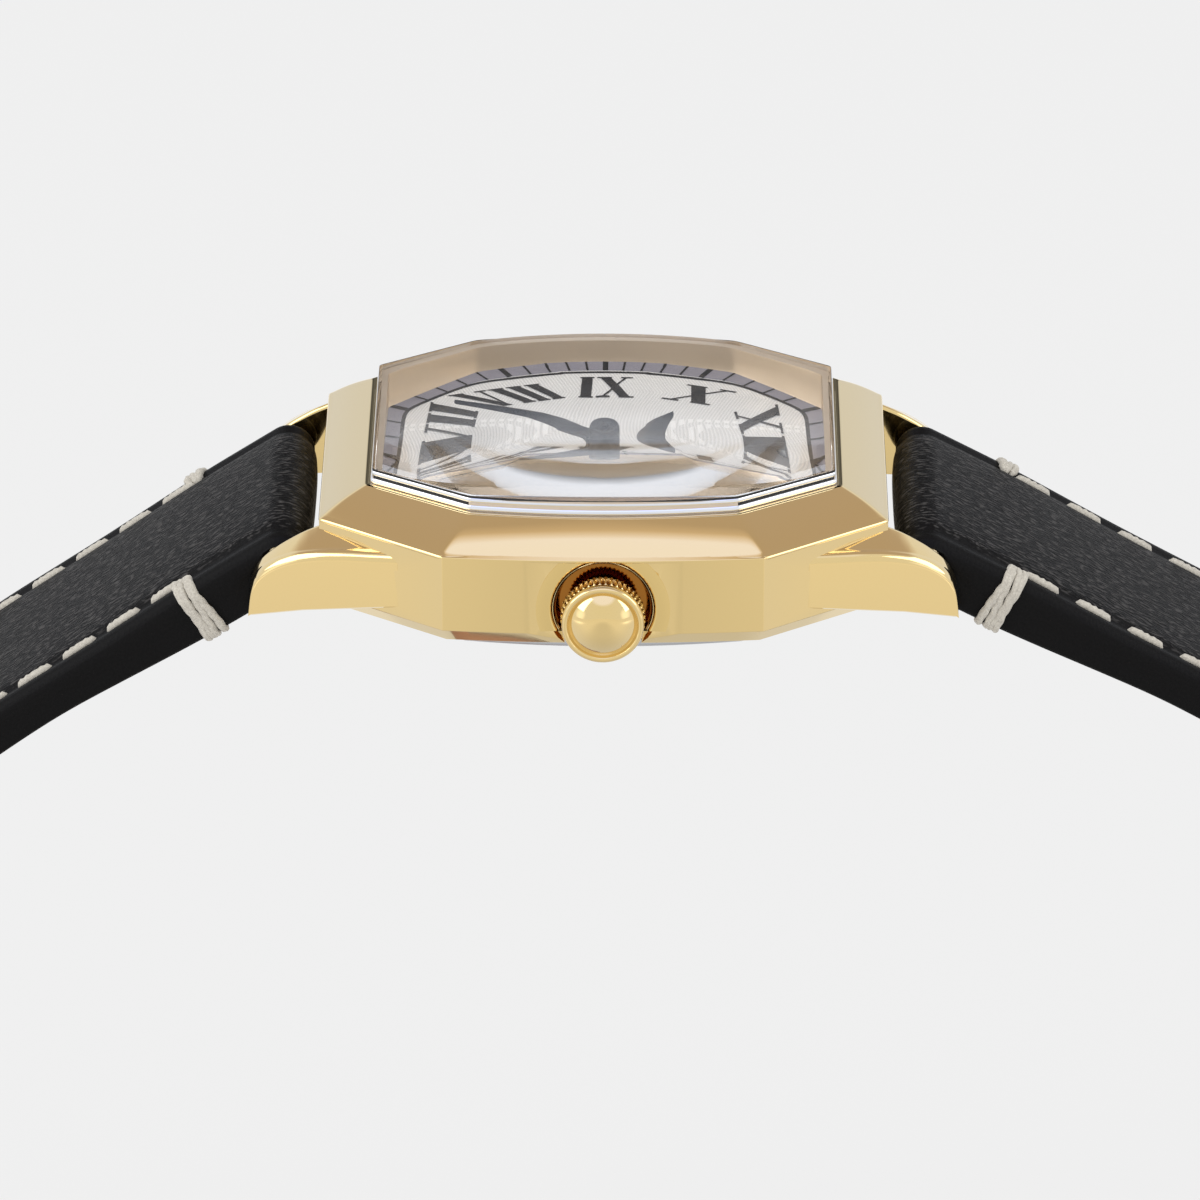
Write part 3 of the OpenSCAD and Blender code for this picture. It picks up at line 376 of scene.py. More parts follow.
glass = Finish("clearCrystal", (1.0, 1.0, 1.0), 0.0, 0.0, {"Transmission Weight": 1.0, "IOR": 1.52})
slate = Finish("slateLacquer", fromHex(44, 50, 60), 0.45, 0.0, {"Specular IOR Level": 0.22})
slate.mottle(slate.noise(slate.place(), 2.0), fromHex(34, 38, 46), fromHex(50, 54, 63))
slate.wear(0.4, 0.15, 5.0)
ink = Finish("dialInk", fromHex(26, 26, 30), 0.4, 0.0, {"Specular IOR Level": 0.12})
ink.wear(0.35, 0.15, 4.0)
trackGrey = Finish("trackGrey", fromHex(140, 138, 150), 0.45)
trackGrey.mottle(trackGrey.noise(trackGrey.place(), 3.0), fromHex(134, 132, 144), fromHex(148, 146, 157))


def dialFinish():
    # Engine-turned chevrons: fine slanting lines whose slant turns over every 2.4 mm, and rows of tiny beads
    look = Finish("engineTurnedDial", fromHex(248, 247, 244), 0.3, 0.0)
    x, y, z = look.parts(look.place())
    rowsEach, linesEach, slant, beadsEach = 0.208, 6.4, 6.6, 2.4  # rows, lines and beads in each mm
    fold = abs((y * rowsEach + 0.2).fract() - 0.5) * 2.0
    line = abs((x * linesEach + fold * slant + 40.0).fract() - 0.5) * 2.0
    row = abs((y * rowsEach + 0.7).fract() - 0.5)
    bead = (abs(row - 0.035) < 0.02) * (abs((x * beadsEach).fract() - 0.5) < 0.3)
    tone = line * 0.62 + 0.2
    look.mottle(tone.maths("MAXIMUM", tone, bead), fromHex(200, 199, 198), fromHex(248, 247, 246))
    look.relief(line + bead * 3.0, 0.00002, 0.6)
    return look


def leatherFinish():
    # Grain on the padded face, with painted highlights: short bright dashes along the strap stand in for its glints;
    # the rim outside the stitches is smooth
    look = Finish("blackLeather", fromHex(26, 25, 25), 0.5, 0.0, {"Specular IOR Level": 0.07})
    lay = look.strapPlace()
    wander = look.noise(lay, 0.5, 2.0, output="Color")
    bent = look.node("ShaderNodeMix", {"data_type": "VECTOR"}, {0: 0.3, 4: lay, 5: wander}, 1)
    stretched = look.node("ShaderNodeMapping", {}, {"Vector": bent, "Scale": (3.0, 9.5, 1)})
    grain = look.noise(stretched, 1.0, 2.0)
    padded = ((5.75 - abs(look.parts(lay)[1])) * 2.5).clamp()
    # Painted highlight mask: the grain's brightest streaks on the padded face
    glintDash = ((grain - 0.53) * 9.0).clamp() * padded
    fine = look.noise(lay, 7.0, 4.0)
    base = look.blend(fine, fromHex(10, 10, 10), fromHex(22, 21, 21))
    # Painted highlight: the dashes blend the base toward a pale grey
    look.mottle(glintDash * 0.85, base, fromHex(76, 74, 73))
    look.feed("Roughness", 0.5 - 0.1 * fine + 0.1 * glintDash)
    look.relief(grain * padded + fine * 0.25, 0.00012, 0.9)
    return look


dialSilver = dialFinish()
leather = leatherFinish()
lining = Finish("liningLeather", fromHex(176, 140, 128), 0.6)
liningSpeck = lining.noise(lining.strapPlace(), 5.0, 5.0)
lining.mottle(liningSpeck, fromHex(150, 112, 100), fromHex(196, 158, 144))
lining.relief(liningSpeck, 0.00003, 0.7)
thread = Finish("creamThread", fromHex(204, 199, 188), 0.75, 0.0, {"Sheen Weight": 0.2})
threadFleck = thread.noise(thread.place(), 9.0)
thread.mottle(threadFleck, fromHex(150, 143, 134), fromHex(216, 211, 198))
thread.relief(threadFleck, 0.00002, 0.6)
print("finishes made")

# Case, back, crown and crystal
thinPlan = dict(middleY=8.3, middleZ=2.2, share=0.72, tipX=14.5, tipBack=0.5, rootX=8.2, rootY=7.0, rootZ=(1.6, 5.17))


def thinLugs(p):
    # Points outside the case's outline belong to the lugs, which lugPiece draws over: they are drawn in towards the
    # lug's middle, and their roots on the wall are lowered
    t = thinPlan
    angles, far = np.arctan2(p[:, 1], p[:, 0]), np.hypot(p[:, 0], p[:, 1])
    wideX, wideY = np.abs(p[:, 0]), np.abs(p[:, 1])
    lug = far > reach(caseShape, 0.04, angles)
    lowered = t["middleZ"] + (p[:, 2] - t["middleZ"]) * t["share"]
    thin = np.stack([p[:, 0] - t["tipBack"] * np.sign(p[:, 0]) * (wideX > t["tipX"]),
                     np.sign(p[:, 1]) * (t["middleY"] + (wideY - t["middleY"]) * t["share"]), lowered], -1)
    root = ~lug & (far > reach(caseShape, -0.06, angles)) & (wideY > t["rootY"]) & (wideX > t["rootX"])
    root &= (p[:, 2] > t["rootZ"][0]) & (p[:, 2] < t["rootZ"][1])
    p[root, 2] = lowered[root]
    return np.where(lug[:, None], thin, p)


softCopy("watchCase", "case", gold, "case_body", 0.07, reshape=thinLugs)

# A lug from its root to its tip: heights of the top along the outer and the inner side, counted from the spring bar
# in x and from the root's top in z, as in the part's source
lugPlan = dict(barX=15.9, root=5.9, tip=1.5, top=4.53, low=0.34, outerY=10.4, taper=0.3, innerY=7.19, roundOut=0.5,
               roundIn=0.22, proud=0.012, crown=0.06,
               outer=[(-5.9, 0), (-3.3, -0.34), (-1.9, -0.58), (-0.7, -0.87), (0.2, -1.28), (1, -2.02), (1.27, -2.58),
                      (1.4, -3.2), (1.5, -4.15)],
               inner=[(-5.9, 0.7), (-3.3, 0.7), (-2.25, 0.55), (-1.2, 0.08), (-0.1, -0.6), (0.8, -1.3), (1.37, -2.1),
                      (1.46, -3.2), (1.5, -4.15)],
               bottom=[(-5.9, 1.5), (-3.3, 1.04), (-1.2, 0.66), (1.5, 0.0)])


def softCurve(points, at):
    # A polyline with its corners eased: the mean of nine samples spread over 0.6 mm
    p = np.array(points)
    spread = np.linspace(-0.3, 0.3, 9) * np.clip((p[-1, 0] - at[:, None]) / 0.4, 0, 1)
    return np.interp(at[:, None] + spread, p[:, 0], p[:, 1]).mean(1)


def lugPiece(name, sideX, sideY):
    # At each x a section from the bottom up the outer wall, over a round edge, across the top and down the inner
    # wall. The top between both edges is a straight line raised by an arc of sines.
    g = lugPlan
    x = np.concatenate([np.linspace(-g["root"], 0.6, 110), g["tip"] - 0.9 * (1 - np.linspace(0, 1, 44)[1:]) ** 2])
    zo, zi = (g["top"] + softCurve(g[edge], x) for edge in ("outer", "inner"))
    zb = g["low"] + np.interp(x, *np.array(g["bottom"]).T)
    yo, yi = -g["outerY"] - g["proud"] + g["taper"] * (x + g["root"]), np.full(len(x), -g["innerY"])
    room = np.minimum(1, np.minimum(zo - zb, zi - zb) / 1.2)
    ro, ri = g["roundOut"] * room, g["roundIn"] * room

    def topAt(y):
        share = (y - yo) / (yi - yo)
        return zo + (zi - zo) * (y - yo) / (yi - yo) + g["crown"] * np.sin(np.pi * np.clip(share, 0, 1))

    columns = [(yo + 0.12, zb), (yo, zb + 0.1 * room)]
    for a in np.radians(np.linspace(0, 90, 9)):
        columns.append((yo + ro * (1 - math.cos(a)), topAt(yo + ro) - ro * (1 - math.sin(a))))
    for f in np.linspace(0, 1, 16)[1:-1]:
        y = yo + ro + (yi - ri - yo - ro) * f
        columns.append((y, topAt(y)))
    for a in np.radians(np.linspace(90, 0, 6)):
        columns.append((yi - ri + ri * math.cos(a), topAt(yi - ri) - ri * (1 - math.sin(a))))
    columns += [(yi, zb + 0.1 * room), (yi - 0.12, zb)]
    rows = np.stack([np.stack([sideX * (g["barX"] + g["proud"] + x), sideY * -y, np.maximum(z, zb)], -1)
                     for y, z in columns], 1)
    skinObject(name, rows, gold, "case_body", slotName="gold_case", sharp=40)


for lugName, sideX, sideY in (("lugFrontRight", 1, -1), ("lugFrontLeft", -1, -1),
                              ("lugBackRight", 1, 1), ("lugBackLeft", -1, 1)):
    lugPiece(lugName, sideX, sideY)
softCopy("caseBack", "case_back", steel, "case_body", 0.06)

# Profile of the crown: radius and distance out from the dial's axis. The dome stands inside its ring.
crownPlan = dict(teeth=44, toothDeep=0.3, middle=2.6, domeR=1.63, domeFoot=13.86, domeHigh=0.66,
                 profile=[(0.42, 12.65), (1.9, 12.65), (2.04, 12.7), (2.08, 12.8), (2.08, 13.25), (2.0, 13.4),
                          (1.92, 13.46), (1.99, 13.53), (2.0, 13.6), (2.0, 13.84), (1.98, 13.93), (1.92, 13.99),
                          (1.84, 14.01), (1.76, 13.99), (1.71, 13.94), (1.68, 13.86), (1.65, 13.83)])


def crownPiece():
    # Revolved about the stem. The teeth are a triangle wave round the rim that fades out at both of its ends, and
    # the dome falls by its height times a^2.7 at the share a of its radius.
    c, t = crownPlan, circle(480)
    dome = [(c["domeR"] * a, c["domeFoot"] + c["domeHigh"] * (1 - a ** 2.7)) for a in np.linspace(1, 0.01, 22)]
    profile = np.array(c["profile"] + dome)
    out = profile[:, 1]
    fade = ease((out - 12.66) / 0.1) * ease((13.44 - out) / 0.1) * (profile[:, 0] > 1.7)
    tooth = -c["toothDeep"] * np.abs(2 * ((c["teeth"] * t / 2 / np.pi) % 1) - 1)
    r = profile[:, :1] + fade[:, None] * tooth[None]
    rows = np.stack([r * np.cos(t), np.broadcast_to(-out[:, None], r.shape), c["middle"] + r * np.sin(t)], -1)
    skinObject("crownBody", rows, crownGold, "crown", ("crown",), slotName="gold_case", sharp=42)


crownPiece()

# Section of the pocket round the crown: radius, share of the way down to its floor, and how far proud it stands
recessPlan = dict(face=-12.0, scoopR=22, floor=-11.46, low=1.46, high=5.14,
                  section=[(3.25, 0.0, -0.02), (3.25, 0.0, 0.014), (2.72, 0.0, 0.02), (2.64, 0.0, 0.034),
                           (2.58, 0.0, 0.034), (2.51, 0.018, 0.03), (2.44, 0.069, 0.02), (2.382, 0.152, 0.01),
                           (2.338, 0.26, 0.0), (2.31, 0.384, 0.0), (2.3, 0.52, 0.0), (2.3, 1.0, 0.0), (2.25, 1.0, 0.03),
                           (1.2, 1.0, 0.03), (1.2, 1.0, -0.1), (2.7, 1.0, -0.1)])


def recessPiece():
    # The smooth wall and rounded lip. The lip lies on the scooped side wall, whose depth at x is its middle's less
    # x squared over twice its radius.
    p, t = recessPlan, circle(240)
    r, deep, out = np.array(p["section"]).T[..., None]
    x, z = r * np.cos(t), crownPlan["middle"] + r * np.sin(t)
    scoop = p["face"] - x ** 2 / (2 * p["scoopR"])
    y = scoop * (1 - deep) + p["floor"] * deep - out
    rows = np.stack([x, y, np.clip(z, p["low"], p["high"])], -1)
    skinObject("crownRecess", rows, pocketGold, "case_body", ring=True, slotName="gold_case", sharp=50)


recessPiece()

# Section of the sloping bezel from the side wall over a soft edge and a slightly convex slope to the lip:
# share of the way from the case's outline to the lip's, height and growth outward
bezelPlan = dict(lip=0.26, low=5.36, high=6.68, bulge=0.1, rows=14,
                 foot=[(0.0, 5.2, 0.02), (0.0, 5.25, 0.035), (0.012, 5.31, 0.04), (0.035, 5.36, 0.03)],
                 back=[(1.03, 6.66, 0.0), (1.04, 6.4, 0.0), (0.3, 5.1, -0.2), (0.03, 5.1, -0.1)])


def bezelPiece():
    # The convex part is a straight slope pushed outward by an arc of sines
    b, angles = bezelPlan, directions(caseShape, count=1200)
    outer, inner = reach(caseShape, 0.0, angles, 260), reach(glassShape, b["lip"], angles, 200)
    u = np.linspace(0.05, 1, b["rows"])
    arc = np.sin(np.pi * u)
    slope = np.stack([u, b["low"] + (b["high"] - b["low"]) * (u - 0.05) / 0.95 + 0.85 * b["bulge"] * arc,
                      0.03 + 0.5 * b["bulge"] * arc], -1)
    section = np.concatenate([b["foot"], slope, b["back"]])
    r = outer * (1 - section[:, :1]) + inner * section[:, :1] + section[:, 2:]
    skinObject("bezelSlope", polar(r, angles, section[:, 1:2]), gold, "case_body", ring=True, slotName="gold_case",
               sharp=50)


bezelPiece()


def ringPiece(name, section, finish, slotName, sharp=50):
    # A closed band round the crystal: each row of the section is (growth of its outline, height)
    angles = directions(glassShape)
    r = np.array([reach(glassShape, grow, angles, 240) for grow, z in section])
    skinObject(name, polar(r, angles, np.array(section)[:, 1:]), finish, "case_body", ring=True, slotName=slotName,
               sharp=sharp)


def roundBead(low, high, out):
    # Half an ellipse from low to high that stands out from the crystal's edge, and the flat behind it
    half, wall = (high - low) / 2, 0.012
    bow = [(wall + out * math.sin(a), (low + high) / 2 - half * math.cos(a)) for a in np.linspace(0.15, 2.99, 9)]
    return bow + [(wall, high), (wall, low)]


# The crystal's ground edge shows as two bright rounded lines with a dark joint between them. Inside, the seat's
# ledge and the sloping wall down to the dial.
edgePlan = {"edgeLower": (roundBead(6.64, 6.96, 0.1), edgeChrome, "glass"),
            "edgeUpper": (roundBead(7.1, 7.33, 0.05), edgeChrome, "glass"),
            "edgeJoint": ([(0.012, 6.9), (0.022, 6.92), (0.022, 7.36), (0.012, 7.44), (0.01, 7.44), (0.01, 6.9)],
                          blackRubber, "glass"),
            "edgeSeat": ([(0.004, 6.3), (0.008, 6.32), (0.008, 7.4), (0.004, 7.42), (0.002, 7.4), (0.002, 6.32)],
                         satinGold, "gold_case"),
            "seatLedge": ([(-0.004, 6.283), (-0.004, 6.294), (-0.5, 6.294), (-0.545, 6.288), (-0.5, 6.283)],
                          seatTone, "gold_case"),
            "rehaut": ([(-0.5, 6.28), (-0.558, 6.285), (-0.575, 6.25), (-0.72, 5.5), (-1.0, 4.6), (-1.05, 4.515),
                        (-0.5, 4.515)], satinGold, "gold_case", 30)}
for ringName, plan in edgePlan.items():
    ringPiece(ringName, *plan)

crystalSize = dict(bottom=6.30, top=8.475, across=57.0, along=83.0, bevel=0.16)


def domeHeight(x, y):
    return crystalSize["top"] - x ** 2 / 2 / crystalSize["along"] - y ** 2 / 2 / crystalSize["across"]


def crystalPiece():
    # Rings from the underside's middle out to the edge, up the side, over the bevel and in across the dome
    c, bevel = crystalSize, crystalSize["bevel"]
    shapeAt = lambda grow: outline(glassShape, grow, 40)
    lift = lambda p, drop: np.column_stack([p, domeHeight(p[:, 0], p[:, 1]) - drop])
    level = lambda p, z: np.column_stack([p, np.full(len(p), z)])
    rings = [level(shapeAt(-0.03) * f, c["bottom"]) for f in (0.02, 0.5, 1.0)]
    rings += [level(shapeAt(0.0), c["bottom"] + 0.03), lift(shapeAt(0.0), bevel + 0.02),
              lift(shapeAt(-0.015), bevel - 0.01), lift(shapeAt(-bevel + 0.015), 0.012)]
    rings += [lift(shapeAt(-bevel) * f, 0.0) for f in np.concatenate([np.linspace(1, 0.1, 19), [0.02]])]
    made = skinObject("crystalGlass", np.array(rings), glass, "case_body", ("crystal",), slotName="glass", sharp=18)
    made.data.materials.append(seatTone.material)  # the ground side faces, against the seat
    normals = np.zeros(len(made.data.polygons) * 3)
    made.data.polygons.foreach_get("normal", normals)
    upright = np.abs(normals.reshape(-1, 3)[:, 2]) < 0.05
    made.data.polygons.foreach_set("material_index", upright.astype(np.int32))
    made.visible_shadow, made.visible_diffuse = False, False  # light comes in through it


crystalPiece()
print("case and crystal made")

# Dial: track, divisions, inner line and numerals lie just above the plate
dialPlan = dict(z=4.5, outer=-0.6, band=-1.8, line=-1.93, lineWidth=0.19)


def bandPiece(name, growIn, growOut, z, finish, roundIn=None, roundOut=None):
    angles = directions(glassShape, growOut)
    rows = [polar(reach(glassShape, grow, angles, corner), angles, z)
            for grow, corner in ((growIn, roundIn), (growOut, roundOut))]
    n = len(angles)
    i = np.arange(n)
    faces = np.stack([i, i + n, (i + 1) % n + n, (i + 1) % n], -1)
    makeObject(name, rows, faces, finish, "case_body", smooth=False, slotName="dial")


bandPiece("minuteTrack", dialPlan["band"], dialPlan["outer"], dialPlan["z"] + 0.01, trackGrey, 60)
bandPiece("innerLine", dialPlan["line"], dialPlan["line"] + dialPlan["lineWidth"], dialPlan["z"] + 0.014, ink, 40, 40)


def divisions():
    # Sixty bars across the track, every fifth one broader
    angles = np.radians(np.arange(60) * 6)
    r0 = reach(glassShape, dialPlan["band"], angles, 60)[:, None]
    r1 = reach(glassShape, dialPlan["outer"], angles)[:, None]
    half = np.where(np.arange(60) % 5 == 0, 0.13, 0.055)
    outward = np.stack([np.cos(angles), np.sin(angles)], -1)
    side = np.stack([-np.sin(angles), np.cos(angles)], -1) * half[:, None]
    corners = np.stack([outward * r0 - side, outward * r1 - side, outward * r1 + side, outward * r0 + side], 1)
    points = np.concatenate([corners, np.full((60, 4, 1), dialPlan["z"] + 0.02)], -1)
    makeObject("minuteDivisions", points, np.arange(240).reshape(60, 4), ink, "case_body", smooth=False,
               slotName="dial")


divisions()


def strokes(letter):
    # Serif strokes of one numeral letter, one unit high: its width and quads of four corners
    thick, thin, serif = 0.225, 0.055, 0.06
    bar = lambda x0, x1, y0, y1: [[x0, y0], [x1, y0], [x1, y1], [x0, y1]]
    foot, head = lambda x0, x1: bar(x0, x1, 0, serif), lambda x0, x1: bar(x0, x1, 1 - serif, 1)
    lean = lambda a, b, w: [[a - w / 2, 0], [a + w / 2, 0], [b + w / 2, 1], [b - w / 2, 1]]
    if letter == "I":
        return 0.36, [bar(0.18 - thick / 2, 0.18 + thick / 2, 0, 1), foot(0.03, 0.33), head(0.03, 0.33)]
    if letter == "V":
        return 0.78, [lean(0.41, 0.17, thick), lean(0.43, 0.65, thin), head(0.02, 0.32), head(0.54, 0.77)]
    return 0.82, [lean(0.63, 0.19, thick), lean(0.16, 0.66, thin), foot(0.03, 0.3), foot(0.49, 0.8),
                  head(0.03, 0.34), head(0.54, 0.79)]


# Where each numeral's corners stand: bottom left, bottom right, top right, top left, read from the middle outward.
# They fan out and follow the inner line, as on the photographed dial.
numeralPlan = {"XII": [(6.2, 1.75), (6.2, -1.75), (8.35, -1.8), (8.35, 1.8)],
               "I": [(6.2, -3.3), (6.05, -4.1), (8.0, -4.75), (8.2, -3.7)],
               "II": [(4.7, -5.3), (2.9, -5.65), (4.1, -7.05), (6.2, -6.65)],
               "III": [(1.35, -5.7), (-1.35, -5.7), (-1.3, -7.4), (1.3, -7.4)],
               "IIII": [(-2.0, -5.7), (-5.2, -5.1), (-7.3, -6.4), (-3.2, -7.05)],
               "V": [(-5.9, -4.6), (-6.15, -2.7), (-8.25, -2.5), (-7.9, -5.3)],
               "VI": [(-6.2, -1.25), (-6.2, 1.25), (-8.35, 1.3), (-8.35, -1.3)],
               "VII": [(-6.2, 2.1), (-5.9, 4.8), (-8.2, 5.95), (-8.5, 1.9)],
               "VIII": [(-5.28, 5.02), (-1.78, 5.69), (-3.08, 7.04), (-7.5, 6.35)],
               "IX": [(-1.32, 5.7), (1.37, 5.7), (1.38, 7.4), (-1.25, 7.4)],
               "X": [(2.5, 5.7), (4.9, 5.25), (6.3, 6.6), (3.8, 7.1)],
               "XI": [(6.0, 4.85), (6.45, 2.4), (8.4, 2.2), (8.1, 5.85)]}


def numerals():
    # A stroke's corners (across, up) are shared between the four corners of its numeral. The strokes lie a hair
    # apart in height, so that no two faces fight where they cross.
    points = []
    for letters, corners in numeralPlan.items():
        drawn = [strokes(letter) for letter in letters]
        width = sum(w for w, quads in drawn)
        c, x = np.array(corners, float), 0.0
        for w, quads in drawn:
            for quad in quads:
                u, v = np.array(quad)[:, :1] / width + x / width, np.array(quad)[:, 1:]
                spot = (1 - u) * (1 - v) * c[0] + u * (1 - v) * c[1] + u * v * c[2] + (1 - u) * v * c[3]
                height = dialPlan["z"] + 0.02 + 0.0006 * (len(points) % 7)
                points.append(np.column_stack([spot, np.full(4, height)]))
            x += w
    faces = np.arange(4 * len(points)).reshape(-1, 4)
    makeObject("dialNumerals", points, faces, ink, "case_body", smooth=False, slotName="dial")


numerals()
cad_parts["dial"].data.materials.clear()
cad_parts["dial"].data.materials.append(dialSilver.material)
print("dial printed")

# Hands: a blade with a low ridge on a tall round hub
handPlan = {"minuteHand": dict(node="minute_hand", body="minute", z=5.55, angle=-205.2, hubLow=5.35, hubHigh=5.86,
                               along=[0.0, 1.1, 1.6, 2.2, 5.0, 7.85, 8.0],
                               wide=[0.5, 0.42, 0.66, 0.76, 0.56, 0.34, 0.05]),
            "hourHand": dict(node="hour_hand", body="hour", z=5.05, angle=-317.1, hubLow=4.8, hubHigh=5.3,
                             along=[0.0, 0.95, 1.7, 2.3, 3.4, 4.25, 4.4],
                             wide=[0.55, 0.55, 1.2, 1.35, 0.85, 0.3, 0.05])}


def handPiece(name, h):
    # Blade: a seven-sided section at each length, turned to the hour. Hub: a profile of (radius, height), revolved.
    u = np.linspace(0, h["along"][-1], 60)
    half, z = np.interp(u, h["along"], h["wide"]) / 2, h["z"]
    rows = np.array([[(x, -w, z + 0.02), (x, -w * 0.92, z + 0.05), (x, 0, z + 0.13), (x, w * 0.92, z + 0.05),
                      (x, w, z + 0.02), (x, w * 0.9, z), (x, -w * 0.9, z)] for x, w in zip(u, half)])
    a = math.radians(h["angle"])
    spin = np.array([[math.cos(a), math.sin(a), 0], [-math.sin(a), math.cos(a), 0], [0, 0, 1]])
    low, top = h["hubLow"], h["hubHigh"]
    profile = np.array([(0.44, low), (0.7, low), (0.72, low + 0.03), (0.72, top - 0.07), (0.68, top - 0.01),
                        (0.62, top), (0.56, top - 0.03), (0.3, top - 0.04), (0.22, top - 0.02), (0.16, top - 0.05),
                        (0.1, top), (0.02, top)])
    t = circle(48)
    hub = polar(profile[:, :1] + 0 * t, t, profile[:, 1:])
    skinObject(name, [rows @ spin, hub], slate, h["body"], (h["node"],), slotName="hand_slate", sharp=30)


for handName, plan in handPlan.items():
    handPiece(handName, plan)
print("hands made")

# Straps: runs of length and turn from the spring bar, as in the part's source
strapPlan = dict(barX=15.9, barZ=2.75, padThick=2.9, thick=2.1, lining=0.7, wide=14.0, tail=12.0, barR=0.8)
pathA = dict(heading=28.0, side=1, runs=[(12, 0), (10, 6), (15 * math.radians(56), 56), (11, 0),
                                         (15 * math.radians(45), 45), (8, 0)])
pathB = dict(heading=33.0, side=-1, runs=[(12, 0), (12, 9), (15 * math.radians(48), 48), (17.5195, 0),
                                          (15 * math.radians(90), 90), (40, 0)])
pathA["length"], pathB["length"] = sum(length for length, turn in pathA["runs"]), 100.0


def along(path, s):
    # Where the strap's middle line is at each distance from the bar, and its heading below level
    s = np.asarray(s, float)
    x, z, a = (np.full(s.shape, v) for v in (strapPlan["barX"], strapPlan["barZ"], math.radians(path["heading"])))
    done = 0.0
    for length, turn in path["runs"]:
        d = np.clip(s - done, 0 if done else -50, length)
        if turn:
            t = math.radians(turn)
            r, turned = length / t, a + t * d / length
            x, z, a = x + r * (np.sin(turned) - np.sin(a)), z + r * (np.cos(turned) - np.cos(a)), turned
        else:
            x, z = x + d * np.cos(a), z - d * np.sin(a)
        done += length
    return x, z, a


def thickAt(s):
    return strapPlan["padThick"] + (strapPlan["thick"] - strapPlan["padThick"]) * ease((s - 3) / 12)


def halfWide(path, s):
    w = (strapPlan["wide"] + (strapPlan["tail"] - strapPlan["wide"]) * ease(s / (path["length"] * 0.8))) / 2
    if path is pathB:
        # The tail's last 8 mm close in to a round end
        b = np.maximum(s - 92, 0) / 8
        w = np.where(b > 0, np.maximum(0.8, 6 * np.sqrt(np.maximum(0, 1 - np.minimum(b, 1) ** 2.4))), w)
    return w


def topHeight(path, s, w):
    # Height of the leather's face above the middle line: padded in the middle, drawn down at the stitches
    half = halfWide(path, s)
    fall = (0.3 * (1 - ease((s - 6) / 16)) + 0.06) * (np.abs(w) / half) ** 3
    seam = 0.2 * np.exp(-((half - np.abs(w) - 1.2) / 0.3) ** 2)
    roll = 0.34 * np.clip(1 - (half - np.abs(w)) / 0.5, 0, 1) ** 2.2
    return thickAt(s) / 2 + 0.12 - fall - seam - roll


def toSpace(path, s, w, h, ahead=0.0, swing=0.0):
    # A point of the strap: s along its middle line, w across, h above it and so far ahead on the heading there.
    # swing turns the upward direction on.
    x, z, a = along(path, s)
    x = path["side"] * (x + ahead * np.cos(a) + h * np.sin(a + swing))
    z = z - ahead * np.sin(a) + h * np.cos(a + swing)
    return np.stack(np.broadcast_arrays(x, w, z), -1)


def layAt(s, w):
    return np.stack(np.broadcast_arrays(s, w), -1)


def topPiece(name, path, end, body, replaced):
    # Each ring runs over the face from edge to edge and back along the underside. The rings start under the bar,
    # go round it and then follow the path.
    p = strapPlan
    s = np.concatenate([np.linspace(0, 24, 60), np.linspace(24, end, int((end - 24) / 0.6))[1:]])[:, None]
    half = halfWide(path, s)
    w = np.sin(np.linspace(-1, 1, 41) * np.pi / 2) * half
    top = topHeight(path, s, w)
    low = np.where(s < p["barR"], np.sqrt(np.maximum(p["barR"] ** 2 - s ** 2, 0)), p["lining"] - thickAt(s) / 2)
    foot = np.where(s < 2.2, low, -0.08 - thickAt(s) / 2)
    rim = top[:, :1]
    # The turned edge: outward by so much at each share of its height, then under to the lining
    edge = [(0.12, 0.05), (0.28, 0.08), (0.42, 0.03), (0.55, 0.0), (0.75, 0.03), (0.93, 0.0), (1.0, -0.08)]
    sideW = np.concatenate([half + o for f, o in edge] + [half - 0.16, half - 0.16], 1)
    sideH = np.concatenate([rim * (1 - f) + foot * f for f, o in edge] + [foot + 0.02, low], 1)
    sideLay = np.concatenate([7 + (rim - foot) * f for f, o in edge] + [7.1 + rim - foot, 7.8 + rim - foot], 1)
    ringW = np.concatenate([w, sideW, -sideW[:, ::-1]], 1)
    ringH = np.concatenate([top, sideH, sideH[:, ::-1]], 1)
    layW = np.concatenate([w * 7 / half, sideLay, -sideLay[:, ::-1]], 1)
    turn = np.radians(np.linspace(180, 4, 26))[:, None]
    back = np.linspace(1.7, 0.15, 5)[:, None]
    rows = [toSpace(path, back, ringW[:1], -ringH[:1]), toSpace(path, 0.0, ringW[:1], ringH[:1], swing=-turn),
            toSpace(path, s, ringW, ringH)]
    lay = [layAt(-back - 4.5, layW[:1]), layAt(-turn * 1.45, layW[:1]), layAt(s, layW)]
    return skinObject(name, np.concatenate(rows), leather, body, replaced, lay=np.concatenate(lay),
                      slotName="strap_leather")


def liningPiece(name, path, end, body, replaced):
    # Section: share of the half width and height above the strap's underside
    s = np.concatenate([np.linspace(1.75, 24, 40), np.linspace(24, end, int((end - 24) / 0.8))[1:]])[:, None]
    section = [(1, 0.14), (1, 0.66), (0.98, 0.69), (-0.98, 0.69), (-1, 0.66), (-1, 0.14), (-0.99, 0.0), (0, 0.0),
               (0.99, 0.0)]
    w = np.concatenate([(halfWide(path, s) - 0.17) * a for a, b in section], 1)
    h = np.concatenate([b - thickAt(s) / 2 for a, b in section], 1)
    return skinObject(name, toSpace(path, s, w, h), lining, body, replaced, lay=layAt(s, w),
                      slotName="strap_lining", sharp=50)


